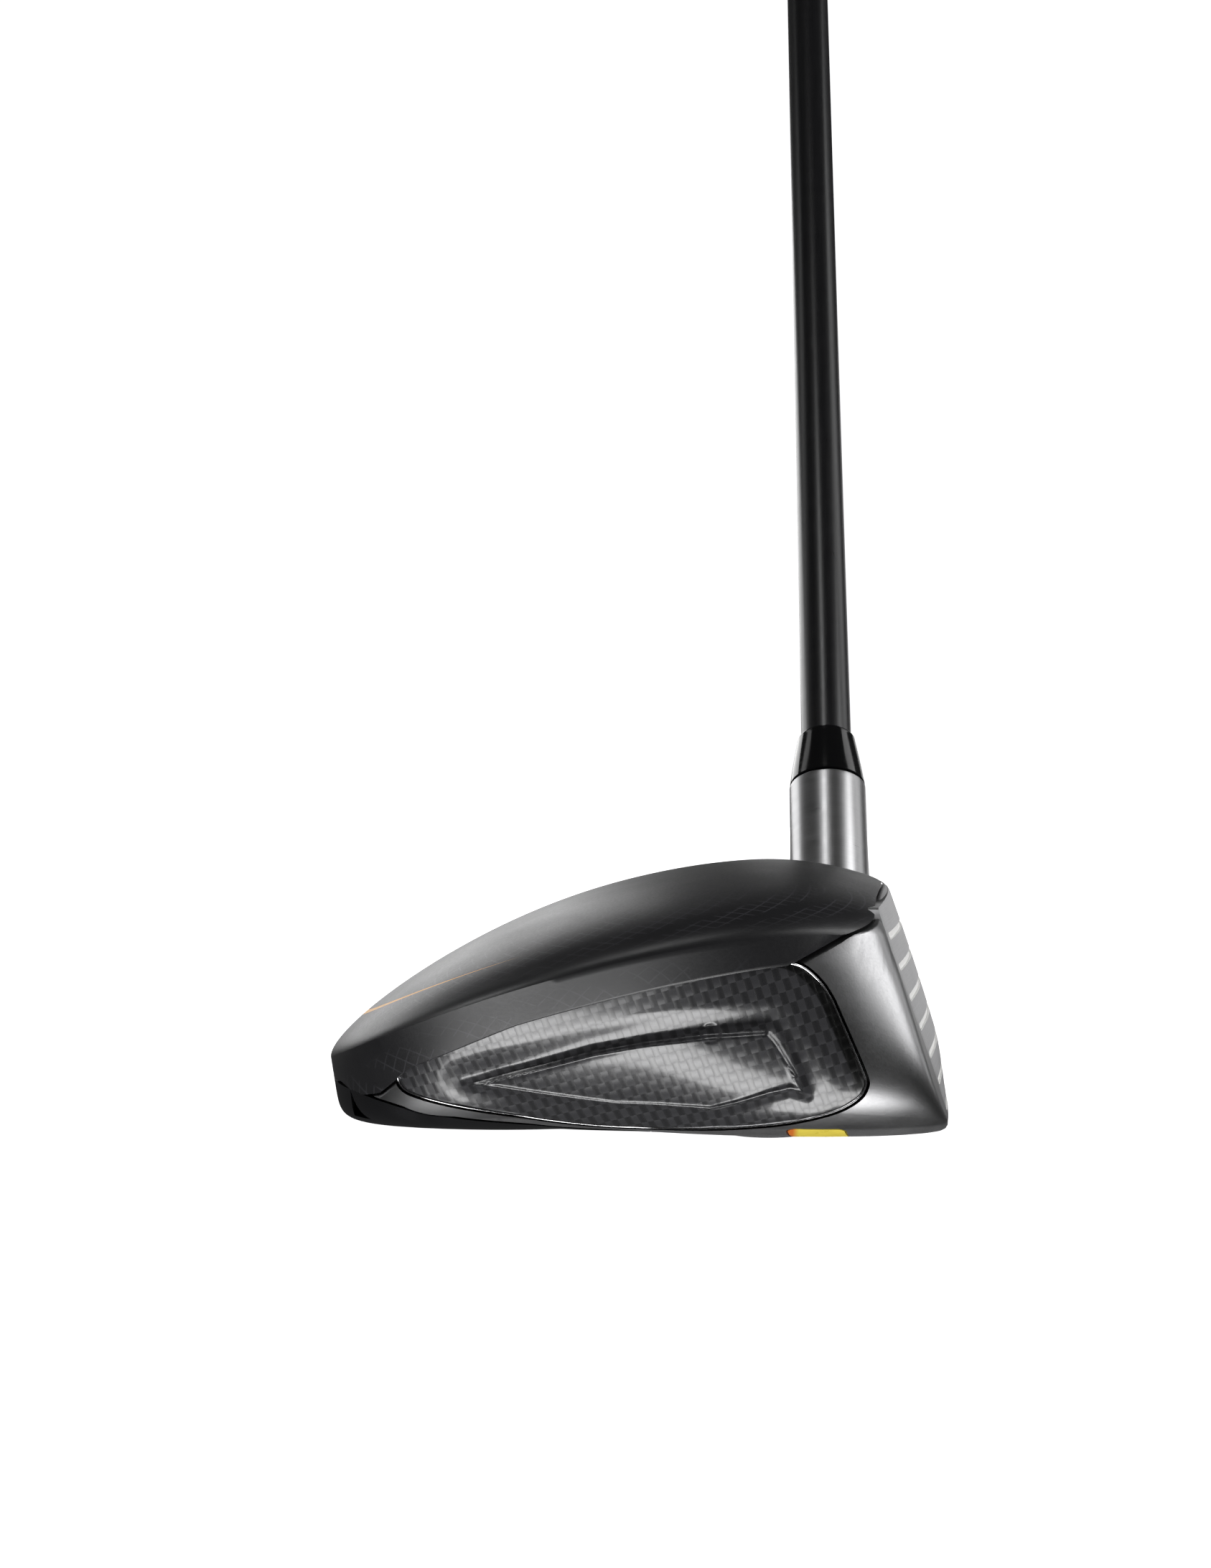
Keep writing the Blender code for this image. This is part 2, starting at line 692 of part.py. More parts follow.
def make_weight(collection, material, screw_material):
    """Round weight with a counterbore, and the screw that clamps it into the port."""
    top = WEIGHT_FACE_Z + WEIGHT_HEIGHT
    head_low = WEIGHT_FACE_Z + SCREW_HEAD_INSET
    head_top = head_low + SCREW_HEAD_HEIGHT
    bore = SCREW_RADIUS + GAP
    counterbore = SCREW_HEAD_RADIUS + GAP
    profile = [
        (WEIGHT_RADIUS, top),
        (WEIGHT_RADIUS, WEIGHT_FACE_Z + 0.3),
        (WEIGHT_RADIUS - 0.3, WEIGHT_FACE_Z),
        (counterbore, WEIGHT_FACE_Z),
        (counterbore, head_top + GAP),
        (bore, head_top + GAP),
        (bore, top),
    ]
    weight = turned("sole_weight", profile, collection, material)
    screw_profile = [
        (0.0, head_top + SCREW_LENGTH),
        (SCREW_RADIUS, head_top + SCREW_LENGTH),
        (SCREW_RADIUS, head_top),
        (SCREW_HEAD_RADIUS, head_top),
        (SCREW_HEAD_RADIUS, head_low + 0.3),
        (SCREW_HEAD_RADIUS - 0.3, head_low),
        (SOCKET_RADIUS, head_low),
        (SOCKET_RADIUS, head_low + SOCKET_DEPTH),
        (0.0, head_low + SOCKET_DEPTH),
    ]
    screw = turned("weight_screw", screw_profile, collection, screw_material)
    return weight, screw


def cartridge_block(name, grow, cutters):
    """Block that takes in the rear of the sole, under the cartridge's top line."""
    top = [(x + grow, z + grow) for x, z in CARTRIDGE_TOP]
    front = CARTRIDGE_TOP[-1][0] + grow
    outline = [*top, (front, -5.0), (CARTRIDGE_TOP[0][0], -5.0)]
    block = plate(name, outline, CARTRIDGE_HALF_WIDTH + grow, cutters)
    block.rotation_euler = (pi / 2.0, 0.0, 0.0)
    bpy.context.view_layer.update()
    return as_cutter(curve_to_mesh(block, cutters))


def make_cartridge(collection, material, envelope, cutters):
    block = cartridge_block("cartridge_block", 0.0, cutters)
    length = REAR_REACH - 2.0 * CARTRIDGE_WALL
    size = (length, 2.0 * (CARTRIDGE_HALF_WIDTH - 2.0 * CARTRIDGE_WALL), 20.0)
    centre = (WIDEST_X - REAR_REACH + 2.0 * CARTRIDGE_WALL + length / 2.0, 0.0, CARTRIDGE_WALL + 10.0)
    pocket = as_cutter(box("cartridge_pocket", size, centre, cutters))
    cartridge = add_object("rear_weight", block.data.copy(), collection, material)
    cartridge.matrix_world = block.matrix_world
    boolean(cartridge, "DIFFERENCE", pocket)
    boolean(cartridge, "INTERSECT", envelope)
    return cartridge


def badge_block(name, grow, cutters):
    """Upright block over the badge's outline: a bar with sloping ends."""
    length = BADGE_LENGTH / 2.0
    width = BADGE_WIDTH / 2.0
    corners = ((-width, -length), (width * 0.6, -length), (width, length), (-width * 0.6, length))
    outline = shrink_outline(rounded_outline(corners, [1.2] * 4, 4), -grow)
    block = plate(name, outline, 12.0, cutters)
    block.location = (BADGE_X * MM, BADGE_Y * MM, 0.0)
    bpy.context.view_layer.update()
    return as_cutter(curve_to_mesh(block, cutters))


def make_badge(collection, material, envelope, cutters):
    block = badge_block("badge_block", 0.0, cutters)
    under = make_envelope("badge_under", BADGE_WALL, cutters)
    badge = add_object("sole_badge", block.data.copy(), collection, material)
    badge.matrix_world = block.matrix_world
    boolean(badge, "INTERSECT", envelope)
    boolean(badge, "DIFFERENCE", under)
    return badge


def make_brace(name, side, collection, material, cavity):
    """Post behind the face that ties the sole to the crown's ledge."""
    size = (BRACE_DEPTH, BRACE_THICKNESS, 60.0)
    brace = box(name, size, (BRACE_X, side * BRACE_Y, 20.0), collection, material)
    boolean(brace, "INTERSECT", cavity)
    return brace


# ---------------------------------------------------------------- the club

def main():
    clear_scene()
    parts = make_collection("fairway_wood")
    cutters = make_collection("cutters")
    cutters.hide_render = True

    steel = make_material("satin_steel", (0.22, 0.22, 0.23), 0.35, 1.0)
    face_steel = make_material("milled_steel", (0.45, 0.45, 0.46), 0.3, 1.0)
    crown_black = make_material("matte_black_carbon", (0.02, 0.02, 0.021), 0.45, 0.0)
    panel_carbon = make_material("moulded_carbon", (0.03, 0.03, 0.032), 0.3, 0.0)
    bright = make_material("bright_steel", (0.7, 0.7, 0.7), 0.15, 1.0)
    black_plastic = make_material("gloss_black_plastic", (0.01, 0.01, 0.01), 0.12, 0.0)
    dark_metal = make_material("black_tungsten", (0.03, 0.03, 0.032), 0.25, 1.0)
    shaft_black = make_material("satin_black_graphite", (0.012, 0.012, 0.013), 0.25, 0.0)
    rubber = make_material("black_rubber", (0.015, 0.015, 0.015), 0.8, 0.0)
    tape_paper = make_material("grip_tape_paper", (0.6, 0.58, 0.5), 0.8, 0.0)
    yellow = make_material("yellow_enamel", (0.9, 0.72, 0.08), 0.35, 0.0)

    envelope = make_envelope("head_envelope", 0.0, cutters)
    brace_cavity = make_envelope("brace_cavity", BODY_WALL + GAP, cutters)

    shaft_axis = bpy.data.objects.new("shaft_axis", None)
    parts.objects.link(shaft_axis)
    shaft_axis.location = (0.0, SHAFT_AXIS_Y * MM, 0.0)
    shaft_axis.rotation_euler = (LIE - pi / 2.0, 0.0, 0.0)
    axial = [
        make_hosel(parts, face_steel),
        make_ferrule(parts, black_plastic),
        make_shaft(parts, shaft_black),
        make_tip_weight(parts, dark_metal),
        *make_grip(parts, rubber, tape_paper, rubber),
    ]
    hosel_room = as_cutter(
        cylinder("hosel_room", HOSEL_RADIUS + GAP, HOSEL_START - GAP, HOSEL_END + 20.0, cutters)
    )
    for obj in [*axial, hosel_room]:
        obj.parent = shaft_axis

    crown = make_crown("crown_shell", 0.0, parts, crown_black)
    solidify(crown, CROWN_WALL, -1.0)
    crown_room = as_cutter(make_crown("crown_room", 0.7 * LIP_DROP, cutters))
    solidify(crown_room, CROWN_WALL + 2.0 * GAP, -CROWN_WALL / (CROWN_WALL + 2.0 * GAP))
    body = make_body(parts, steel)
    face_room = as_cutter(make_face("face_room", GAP, 16.0, 0.0, cutters))
    face = make_face("face_plate", 0.0, FACE_THICKNESS, -1.0, parts, face_steel)
    port_hole = as_cutter(
        cylinder("port_room", WEIGHT_RADIUS + 2.0 * GAP + PORT_WALL, -3.0, 24.0, cutters)
    )
    port = make_port(parts, steel, envelope)
    weight_axis = bpy.data.objects.new("weight_axis", None)
    parts.objects.link(weight_axis)
    weight_axis.location = (WEIGHT_X * MM, WEIGHT_Y * MM, 0.0)
    weight, screw = make_weight(parts, dark_metal, black_plastic)
    for obj in (port, port_hole, weight, screw):
        obj.parent = weight_axis

    cartridge = make_cartridge(parts, dark_metal, envelope, cutters)
    cartridge_room = cartridge_block("cartridge_room", GAP, cutters)
    badge = make_badge(parts, yellow, envelope, cutters)
    badge_room = badge_block("badge_room", GAP, cutters)
    badge_floor = make_envelope("badge_floor", BADGE_WALL + GAP, cutters)
    boolean(badge_room, "DIFFERENCE", badge_floor)
    ground = as_cutter(box("sole_flat", (90.0, 24.0, 10.0), (-32.0, 0.0, -5.0), cutters))

    boolean(crown, "DIFFERENCE", hosel_room)
    boolean(crown, "DIFFERENCE", face_room)
    for cutter in (crown_room, hosel_room, face_room, port_hole, cartridge_room, badge_room, ground):
        boolean(body, "DIFFERENCE", cutter, "MANIFOLD")
    boolean(port, "DIFFERENCE", ground)
    boolean(cartridge, "DIFFERENCE", ground)
    made = [crown, body, face, port, weight, screw, cartridge, badge, *axial]

    for side, end in ((-1.0, "toe"), (1.0, "heel")):
        room = make_panel(end + "_window", side, 0.0, 0.0, 12.0, 0.0, cutters)
        as_cutter(room)
        boolean(body, "DIFFERENCE", room, "MANIFOLD")
        inset = WINDOW_GAP + 2.0 * TRIM_WIRE + GAP
        panel = make_panel(
            end + "_panel", side, inset, PANEL_RECESS, PANEL_THICKNESS, -1.0, parts, panel_carbon
        )
        trim = make_trim(end + "_trim", side, parts, bright)
        brace = make_brace(end + "_brace", side, parts, steel, brace_cavity)
        boolean(brace, "DIFFERENCE", port_hole)
        made += [panel, brace]
    for obj in made:
        shade(obj)


if __name__ == "__main__":
    main()
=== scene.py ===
"""Fairway wood golf club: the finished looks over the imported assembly, laid out as an add-on.

The head formulas work in millimetres in the club's own frame: +X is the target line, +Y runs
from toe to heel and +Z is up. Each mesh is scaled to metres when it is made.
"""

from math import cos, pi, radians, sin, tan

import bmesh
import bpy
import numpy as np
from bpy.props import FloatProperty, FloatVectorProperty, PointerProperty
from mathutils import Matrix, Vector


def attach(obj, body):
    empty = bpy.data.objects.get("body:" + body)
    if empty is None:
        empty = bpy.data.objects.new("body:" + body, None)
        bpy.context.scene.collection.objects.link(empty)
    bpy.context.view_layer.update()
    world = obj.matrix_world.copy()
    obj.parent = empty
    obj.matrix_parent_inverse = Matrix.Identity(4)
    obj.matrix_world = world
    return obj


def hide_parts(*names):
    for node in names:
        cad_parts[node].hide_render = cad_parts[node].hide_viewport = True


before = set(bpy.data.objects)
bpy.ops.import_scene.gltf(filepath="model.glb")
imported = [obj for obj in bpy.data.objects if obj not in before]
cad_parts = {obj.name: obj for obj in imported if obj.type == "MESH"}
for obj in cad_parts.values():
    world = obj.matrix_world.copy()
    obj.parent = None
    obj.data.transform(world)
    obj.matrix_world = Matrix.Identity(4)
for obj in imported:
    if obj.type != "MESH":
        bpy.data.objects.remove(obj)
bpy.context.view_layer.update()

bl_info = {
    "name": "Fairway wood",
    "version": (1, 0, 0),
    "blender": (4, 5, 0),
    "location": "3D View > Sidebar > Club",
    "description": "Builds the finished surfaces of a fairway wood golf club over its CAD assembly",
    "category": "Object",
}

MM = 0.001

# Driving sizes of the club, in millimetres and degrees.
CLUB_LENGTH = 1086.0
LIE = radians(57.5)
LOFT = radians(17.0)
SHAFT_AXIS_Y = 30.0
GAP = 0.3

# Head outline seen from above, measured from its widest section.
WIDEST_X = -30.0
REAR_REACH = 43.3
FRONT_REACH = 50.0
TOE_REACH = 51.0
HEEL_REACH = 55.0
OUTLINE_POWER = 2.3

# Head profile: the shoulder line, the crown above it and the sole below it.
SHOULDER_HEIGHT = 30.1
SHOULDER_SLOPE = 0.02
SHOULDER_DROP = 0.0036
FRONT_DROP_START = -14.0
FRONT_DROP = 0.0045
CROWN_RISE = 8.0
SOLE_CAMBER_RADIUS = 230.0
SOLE_FLAT_DEPTH = 0.12
SOLE_RISE_START = -30.0
SOLE_RISE = 0.015
TOE_TAPER = 10.0
FRONT_TAPER = -9.0
REAR_TAPER = 1.4
# How square the wall's lower corner is, across and up, at the side, the front and the rear.
WIDTH_POWERS = (6.0, 9.0, 22.0)
DROP_POWERS = (3.2, 4.2, 9.0)

# Face plane: its leading edge, and its bulge and roll radii.
LEADING_EDGE_X = 14.5
LEADING_EDGE_Z = 3.0
BULGE_RADIUS = 260.0
ROLL_RADIUS = 300.0
ROLL_CENTRE_Z = 17.0
FACE_CORNER = 2.0
LEADING_EDGE_TOP = 5.2
FACE_SWELL = 1.4
FACE_SWELL_REACH = 26.0
LEADING_EDGE_CURL = 0.13

# Walls of the head.
BODY_WALL = 1.2
CROWN_WALL = 1.0
LEDGE_ROOM = 0.7
LEDGE_HEIGHT = 0.16
LIP_DROP = 0.03
TOPLINE_BACK = 0.4
LEDGE_BLEND = 0.12
FACE_THICKNESS = 2.2
PANEL_THICKNESS = 1.0
PANEL_RECESS = 0.5
TRIM_WIRE = 0.35
WINDOW_GAP = 0.6

# Crown edge: angle from straight toe or heel, positive to the front, and how far the edge lies
# below the shoulder line as a share of the wall, or above it where negative.
CROWN_EDGE_ANGLES = (-90.0, -58.0, -50.0, -44.0, -35.0, -15.0, 5.0, 24.0, 32.0, 41.0)
CROWN_EDGE_DROPS = (0.36, 0.38, 0.58, 0.58, 0.38, 0.25, 0.20, 0.15, 0.0, -0.22)

# Side window in the body: corners in the X-Z plane and their radii.
TOE_WINDOW = ((-60.5, 8.2), (-33.0, 19.8), (-5.4, 25.4), (1.9, 9.4), (-9.0, 4.6), (-28.0, 2.8))
HEEL_WINDOW = ((-60.5, 8.2), (-33.0, 19.4), (-16.5, 22.8), (-11.5, 10.0), (-18.0, 5.6), (-32.0, 5.0))
WINDOW_RADII = (2.6, 60.0, 4.0, 4.0, 12.0, 30.0)

# Face insert outline in the Y-Z plane, toe bottom corner first, going round towards the heel.
FACE_CORNERS = (
    (-27.5, 4.6), (28.0, 4.6), (36.0, 31.0), (0.0, 33.6), (-37.6, 32.3),
    (-39.3, 27.5), (-38.2, 21.1), (-36.0, 14.5), (-31.5, 7.6),
)
FACE_RADII = (2.0, 3.0, 3.0, 120.0, 1.2, 20.0, 40.0, 40.0, 10.0)

# Sole weight, its screw and the port that they sit in.
WEIGHT_X = -11.5
WEIGHT_Y = -14.0
WEIGHT_RADIUS = 7.0
WEIGHT_FACE_Z = 0.2
WEIGHT_HEIGHT = 5.0
PORT_WALL = 1.7
SCREW_HEAD_RADIUS = 4.2
SCREW_HEAD_HEIGHT = 2.4
SCREW_HEAD_INSET = 0.3
SCREW_RADIUS = 2.4
SCREW_LENGTH = 11.0
SOCKET_RADIUS = 1.9
SOCKET_DEPTH = 1.5

# Rear weight cartridge: its top line in the X-Z plane, and its wall.
CARTRIDGE_TOP = ((-80.0, 7.6), (-66.0, 7.2), (-61.0, 6.3), (-57.0, 5.4), (-50.0, 4.2), (-40.0, 2.6), (-27.0, 1.6))
CARTRIDGE_HALF_WIDTH = 34.0
CARTRIDGE_WALL = 3.2

# Sole badge.
BADGE_X = -4.5
BADGE_Y = -31.0
BADGE_LENGTH = 14.0
BADGE_WIDTH = 9.0
BADGE_WALL = 0.5

# Stations along the shaft axis, measured from the ground.
HOSEL_START = 14.0
HOSEL_END = 56.0
HOSEL_RADIUS = 6.6
HOSEL_FLOOR = 3.0
FERRULE_END = 66.3
FERRULE_TOP_RADIUS = 5.0
SHAFT_TIP_RADIUS = 4.4
SHAFT_BUTT_RADIUS = 7.6
SHAFT_WALL = 1.3
SHAFT_TAPER_POWER = 1.6
GRIP_LENGTH = 267.0
GRIP_MOUTH_RADIUS = 9.6
GRIP_BUTT_RADIUS = 13.4
GRIP_CAP_LENGTH = 7.0
GRIP_TAPE_WALL = 0.35

CORNER_WIDTH = 0.9
OUTLINE_STEPS = 12

# Toe window: its top edge, which is the crown's lower edge, and its foot, in the X-Z plane.
TOE_WINDOW_TOP = (
    (-59.6, 9.7), (-57.5, 10.9), (-53.8, 13.2), (-44.1, 17.4), (-35.1, 20.1),
    (-26.2, 22.4), (-17.5, 24.4), (-8.4, 26.0),
)
TOE_WINDOW_FOOT = (
    (-4.1, 23.8), (-1.7, 18.3), (1.0, 12.0), (1.2, 10.8), (0.3, 8.9), (-2.5, 7.0), (-6.7, 5.6),
    (-10.0, 4.7), (-19.0, 3.1), (-28.7, 2.3), (-39.2, 3.6), (-49.6, 5.7), (-56.0, 7.2), (-59.0, 8.3),
)
WINDOW_LIFT = 1.3
GROOVE_WIDTH = 0.45
GROOVE_DEPTH = 1.25
TRIM_RADIUS = 0.13
# Extra width of black painted shade added inside each panel's groove towards its front edge.
PAINTED_SHADE_WIDTH = 1.5

# Raised blade inside the toe panel, and its crest, in the X-Z plane.
BLADE = (
    (-49.5, 9.6), (-44.2, 11.4), (-33.1, 14.7), (-26.4, 16.0), (-19.0, 17.1), (-11.4, 17.7),
    (-10.3, 16.4), (-9.1, 14.4), (-7.8, 12.2), (-6.6, 9.6), (-8.6, 10.2), (-11.1, 9.5),
    (-14.9, 8.0), (-18.5, 6.8), (-30.5, 7.0), (-38.6, 8.2), (-47.0, 9.4),
)
BLADE_HEIGHT = 0.8
PIN_AT = (-18.4, 17.4)

SCORE_HEIGHTS = (5.9, 9.7, 13.4, 17.1, 20.9, 24.8, 28.7)
SCORE_HALF_WIDTH = 0.45
SCORE_DEPTH = 0.3
SCORE_ENDS = (
    (-28.0, 22.0), (-31.5, 24.0), (-34.0, 25.0), (-35.5, 26.0), (-36.5, 27.0), (-37.0, 28.0), (-36.5, 28.0),
)

STRIPE_LEVEL = -0.30
SOLE_BAND_TOP = 4.6


# ---------------------------------------------------------------- colours and nodes

def to_linear(code):
    """Linear RGB of an sRGB hex code."""
    parts = [int(code[i:i + 2], 16) / 255.0 for i in (1, 3, 5)]
    return tuple(p / 12.92 if p <= 0.04045 else ((p + 0.055) / 1.055) ** 2.4 for p in parts)


def add_node(tree, kind, inputs=None, **settings):
    """Adds a node, sets its properties, and links or sets its inputs by name or number."""
    node = tree.nodes.new(kind)
    for name, value in settings.items():
        setattr(node, name, value)
    for name, value in (inputs or {}).items():
        if isinstance(value, bpy.types.NodeSocket):
            tree.links.new(value, node.inputs[name])
        else:
            node.inputs[name].default_value = value
    return node


def new_material(name):
    """Empty material. Gives its tree, its shader and the object's coordinates in metres."""
    material = bpy.data.materials.new(name)
    material.use_nodes = True
    tree = material.node_tree
    shader = tree.nodes["Principled BSDF"]
    place = add_node(tree, "ShaderNodeTexCoord").outputs["Object"]
    return material, tree, shader, place


def stretch(tree, place, sizes, turn=0.0):
    """Coordinates divided by a size in millimetres along each axis, after a turn about X."""
    turned = add_node(tree, "ShaderNodeMapping", {"Vector": place, "Rotation": (turn, 0.0, 0.0)})
    scale = tuple(1.0 / (size * MM) for size in sizes)
    return add_node(tree, "ShaderNodeMapping", {"Vector": turned.outputs[0], "Scale": scale}).outputs[0]


def noise(tree, vector, detail=3.0, roughness=0.5):
    inputs = {"Vector": vector, "Scale": 1.0, "Detail": detail, "Roughness": roughness}
    return add_node(tree, "ShaderNodeTexNoise", inputs).outputs["Fac"]


def math(tree, operation, first, second=0.0, third=0.0):
    inputs = {0: first, 1: second, 2: third}
    return add_node(tree, "ShaderNodeMath", inputs, operation=operation).outputs[0]


def span(tree, value, low, high, to_low, to_high):
    inputs = {"Value": value, "From Min": low, "From Max": high, "To Min": to_low, "To Max": to_high}
    return add_node(tree, "ShaderNodeMapRange", inputs).outputs["Result"]


def blend(tree, share, first, second):
    inputs = {"Factor": share, "A": first, "B": second}
    return add_node(tree, "ShaderNodeMix", inputs, data_type="RGBA").outputs["Result"]


def rgba(colour):
    return (*colour, 1.0)


def scaled(colour, factor):
    return (*(min(part * factor, 1.0) for part in colour), 1.0)


def add_bump(tree, shader, height, distance, strength=1.0):
    inputs = {"Height": height, "Distance": distance * MM, "Strength": strength}
    bump = add_node(tree, "ShaderNodeBump", inputs)
    tree.links.new(bump.outputs[0], shader.inputs["Normal"])


def set_shader(tree, shader, inputs):
    for name, value in inputs.items():
        if isinstance(value, bpy.types.NodeSocket):
            tree.links.new(value, shader.inputs[name])
        else:
            shader.inputs[name].default_value = value


# ---------------------------------------------------------------- materials

def cast_steel(colours):
    """Investment-cast steel under a satin bead-blast: soft grey gradients with a fine tooth."""
    material, tree, shader, place = new_material("Bead-blasted cast steel")
    tooth = noise(tree, stretch(tree, place, (0.22, 0.22, 0.22)), 2.0)
    cloud = noise(tree, stretch(tree, place, (9.0, 9.0, 9.0)), 4.0)
    height = add_node(tree, "ShaderNodeSeparateXYZ", {0: place}).outputs["Z"]
    band = span(tree, height, SOLE_BAND_TOP * MM, (SOLE_BAND_TOP - 0.5) * MM, 0.0, 1.0)
    brush = noise(tree, stretch(tree, place, (0.12, 6.0, 0.25)), 3.0)
    shade = blend(tree, cloud, scaled(colours.steel, 0.88), scaled(colours.steel, 1.1))
    light = blend(tree, brush, scaled(colours.steel, 1.5), scaled(colours.steel, 2.3))
    set_shader(tree, shader, {
        "Base Color": blend(tree, band, shade, light),
        "Metallic": 1.0,
        "Roughness": span(tree, math(tree, "ADD", tooth, cloud), 0.6, 1.4, 0.30, 0.44),
    })
    add_bump(tree, shader, tooth, 0.006)
    return material


def brushed_tube(colours):
    """Steel brushed round the tube on a lathe: fine rings that stretch the highlights sideways."""
    material, tree, shader, place = new_material("Lathe-brushed steel")
    turn = pi / 2.0 - LIE
    rings = noise(tree, stretch(tree, place, (30.0, 30.0, 0.08), turn), 3.0, 0.6)
    broad = noise(tree, stretch(tree, place, (8.0, 8.0, 1.2), turn), 2.0)
    set_shader(tree, shader, {
        "Base Color": blend(tree, rings, scaled(colours.bright_steel, 0.75), scaled(colours.bright_steel, 0.95)),
        "Metallic": 1.0,
        "Roughness": span(tree, math(tree, "ADD", rings, broad), 0.6, 1.4, 0.27, 0.36),
    })
    add_bump(tree, shader, rings, 0.0015)
    return material


def milled_face(colours):
    """Rolled face steel with straight brushing from toe to heel."""
    material, tree, shader, place = new_material("Straight-brushed face steel")
    brush = noise(tree, stretch(tree, place, (3.0, 18.0, 0.09)), 4.0, 0.7)
    cloud = noise(tree, stretch(tree, place, (7.0, 7.0, 7.0)), 2.0)
    set_shader(tree, shader, {
        "Base Color": blend(tree, brush, scaled(colours.bright_steel, 1.1), scaled(colours.bright_steel, 1.9)),
        "Metallic": 1.0,
        "Roughness": span(tree, math(tree, "ADD", brush, cloud), 0.6, 1.4, 0.34, 0.5),
    })
    add_bump(tree, shader, brush, 0.008)
    return material


def score_paint(colours):
    """White filler paint wiped into the score lines: chalky, with the odd thin spot."""
    material, tree, shader, place = new_material("Wiped white filler paint")
    thin = noise(tree, stretch(tree, place, (0.5, 1.2, 0.3)), 3.0)
    set_shader(tree, shader, {
        "Base Color": blend(tree, thin, scaled(colours.score, 0.8), rgba(colours.score)),
        "Roughness": span(tree, thin, 0.3, 0.7, 0.55, 0.8),
    })
    add_bump(tree, shader, thin, 0.02)
    return material


def crown_lacquer(colours, sizes):
    """Matte clear lacquer over black composite: a soft sheen, faint crossed fibres and one thin stripe."""
    material, tree, shader, place = new_material("Matte lacquered carbon composite")
    across = add_node(tree, "ShaderNodeAttribute", attribute_name="stripe_mm").outputs["Fac"]
    along = add_node(tree, "ShaderNodeAttribute", attribute_name="turn_mm").outputs["Fac"]
    half = span(tree, along, -56.0, -11.3, sizes.stripe_width / MM * 0.9, 0.0)
    edge = math(tree, "SUBTRACT", half, math(tree, "ABSOLUTE", across))
    stripe = span(tree, edge, 0.0, 0.05, 0.0, 1.0)
    pitch = sizes.fibre_pitch / MM
    fibres = 0.0
    for slant in (-0.87, 0.87):
        line = math(tree, "MULTIPLY_ADD", across, 1.0, math(tree, "MULTIPLY", along, slant))
        saw = math(tree, "PINGPONG", line, pitch / 2.0)
        dash = math(tree, "PINGPONG", math(tree, "MULTIPLY_ADD", along, 0.5, across), pitch * 1.4)
        on_line = span(tree, saw, 0.16, 0.06, 0.0, 1.0)
        fibres = math(tree, "MAXIMUM", fibres, math(tree, "MULTIPLY", on_line, span(tree, dash, 1.0, 1.3, 0.0, 1.0)))
    near = span(tree, math(tree, "ABSOLUTE", across), 9.0, 2.0, 0.0, 1.0)
    fibres = math(tree, "MULTIPLY", fibres, near)
    mist = noise(tree, stretch(tree, place, (0.35, 0.35, 0.35)), 2.0)
    cloud = noise(tree, stretch(tree, place, (14.0, 14.0, 14.0)), 3.0)
    black = blend(tree, cloud, scaled(colours.crown, 0.8), scaled(colours.crown, 1.25))
    black = blend(tree, fibres, black, scaled(colours.crown, 4.0))
    set_shader(tree, shader, {
        "Base Color": blend(tree, stripe, black, rgba(colours.stripe)),
        "Roughness": span(tree, math(tree, "ADD", mist, cloud), 0.6, 1.4, 0.36, 0.48),
        "Coat Weight": 0.06,
        "Coat Roughness": 0.35,
    })
    add_bump(tree, shader, math(tree, "MULTIPLY_ADD", stripe, 2.0, mist), 0.006)
    return material


def woven_panel(colours, sizes):
    """Moulded composite with plain-weave tows under clear gloss, and a black painted groove round it, widened
    towards the panel's front edge by painted shade.
    """
    material, tree, shader, place = new_material("Clear-coated plain-weave composite")
    pitch = sizes.weave_pitch / MM
    cells = add_node(tree, "ShaderNodeMapping", {"Vector": place, "Rotation": (0.0, radians(18.0), 0.0)}).outputs[0]
    parts = add_node(tree, "ShaderNodeSeparateXYZ", {0: cells})
    across = math(tree, "DIVIDE", parts.outputs["X"], pitch * MM)
    up = math(tree, "DIVIDE", parts.outputs["Z"], pitch * MM * 1.7)
    parity = math(tree, "PINGPONG", math(tree, "ADD", math(tree, "FLOOR", across), math(tree, "FLOOR", up)), 1.0)
    warp = math(tree, "SINE", math(tree, "MULTIPLY", math(tree, "FRACT", across), pi))
    weft = math(tree, "SINE", math(tree, "MULTIPLY", math(tree, "FRACT", up), pi))
    weave = add_node(tree, "ShaderNodeMix", {"Factor": parity, 2: warp, 3: weft}, data_type="FLOAT").outputs[0]
    strands = noise(tree, stretch(tree, place, (0.12, 2.0, 0.12)), 2.0)
    # groove mask: the black joint round the panel, plus painted shade towards the panel's front edge.
    groove = add_node(tree, "ShaderNodeAttribute", attribute_name="groove").outputs["Fac"]
    tow = blend(tree, parity, scaled(colours.panel, 0.45), scaled(colours.panel, 1.4))
    tow = blend(tree, math(tree, "MULTIPLY", strands, 0.4), tow, scaled(colours.panel, 2.2))
    set_shader(tree, shader, {
        "Base Color": blend(tree, groove, tow, (0.002, 0.002, 0.002, 1.0)),
        "Roughness": span(tree, weave, 0.0, 1.0, 0.42, 0.28),
        "Coat Weight": 0.5,
        "Coat Roughness": 0.12,
    })
    add_bump(tree, shader, math(tree, "MULTIPLY_ADD", parity, 0.7, weave), 0.03)
    return material


def polished_trim(colours):
    """Polished bright wire with hairline scratches."""
    material, tree, shader, place = new_material("Polished bright steel")
    scratch = noise(tree, stretch(tree, place, (1.5, 1.5, 0.05)), 3.0)
    set_shader(tree, shader, {
        "Base Color": blend(tree, scratch, scaled(colours.bright_steel, 1.1), scaled(colours.bright_steel, 1.5)),
        "Metallic": 1.0,
        "Roughness": span(tree, scratch, 0.3, 0.7, 0.1, 0.22),
    })
    add_bump(tree, shader, scratch, 0.003)
    return material


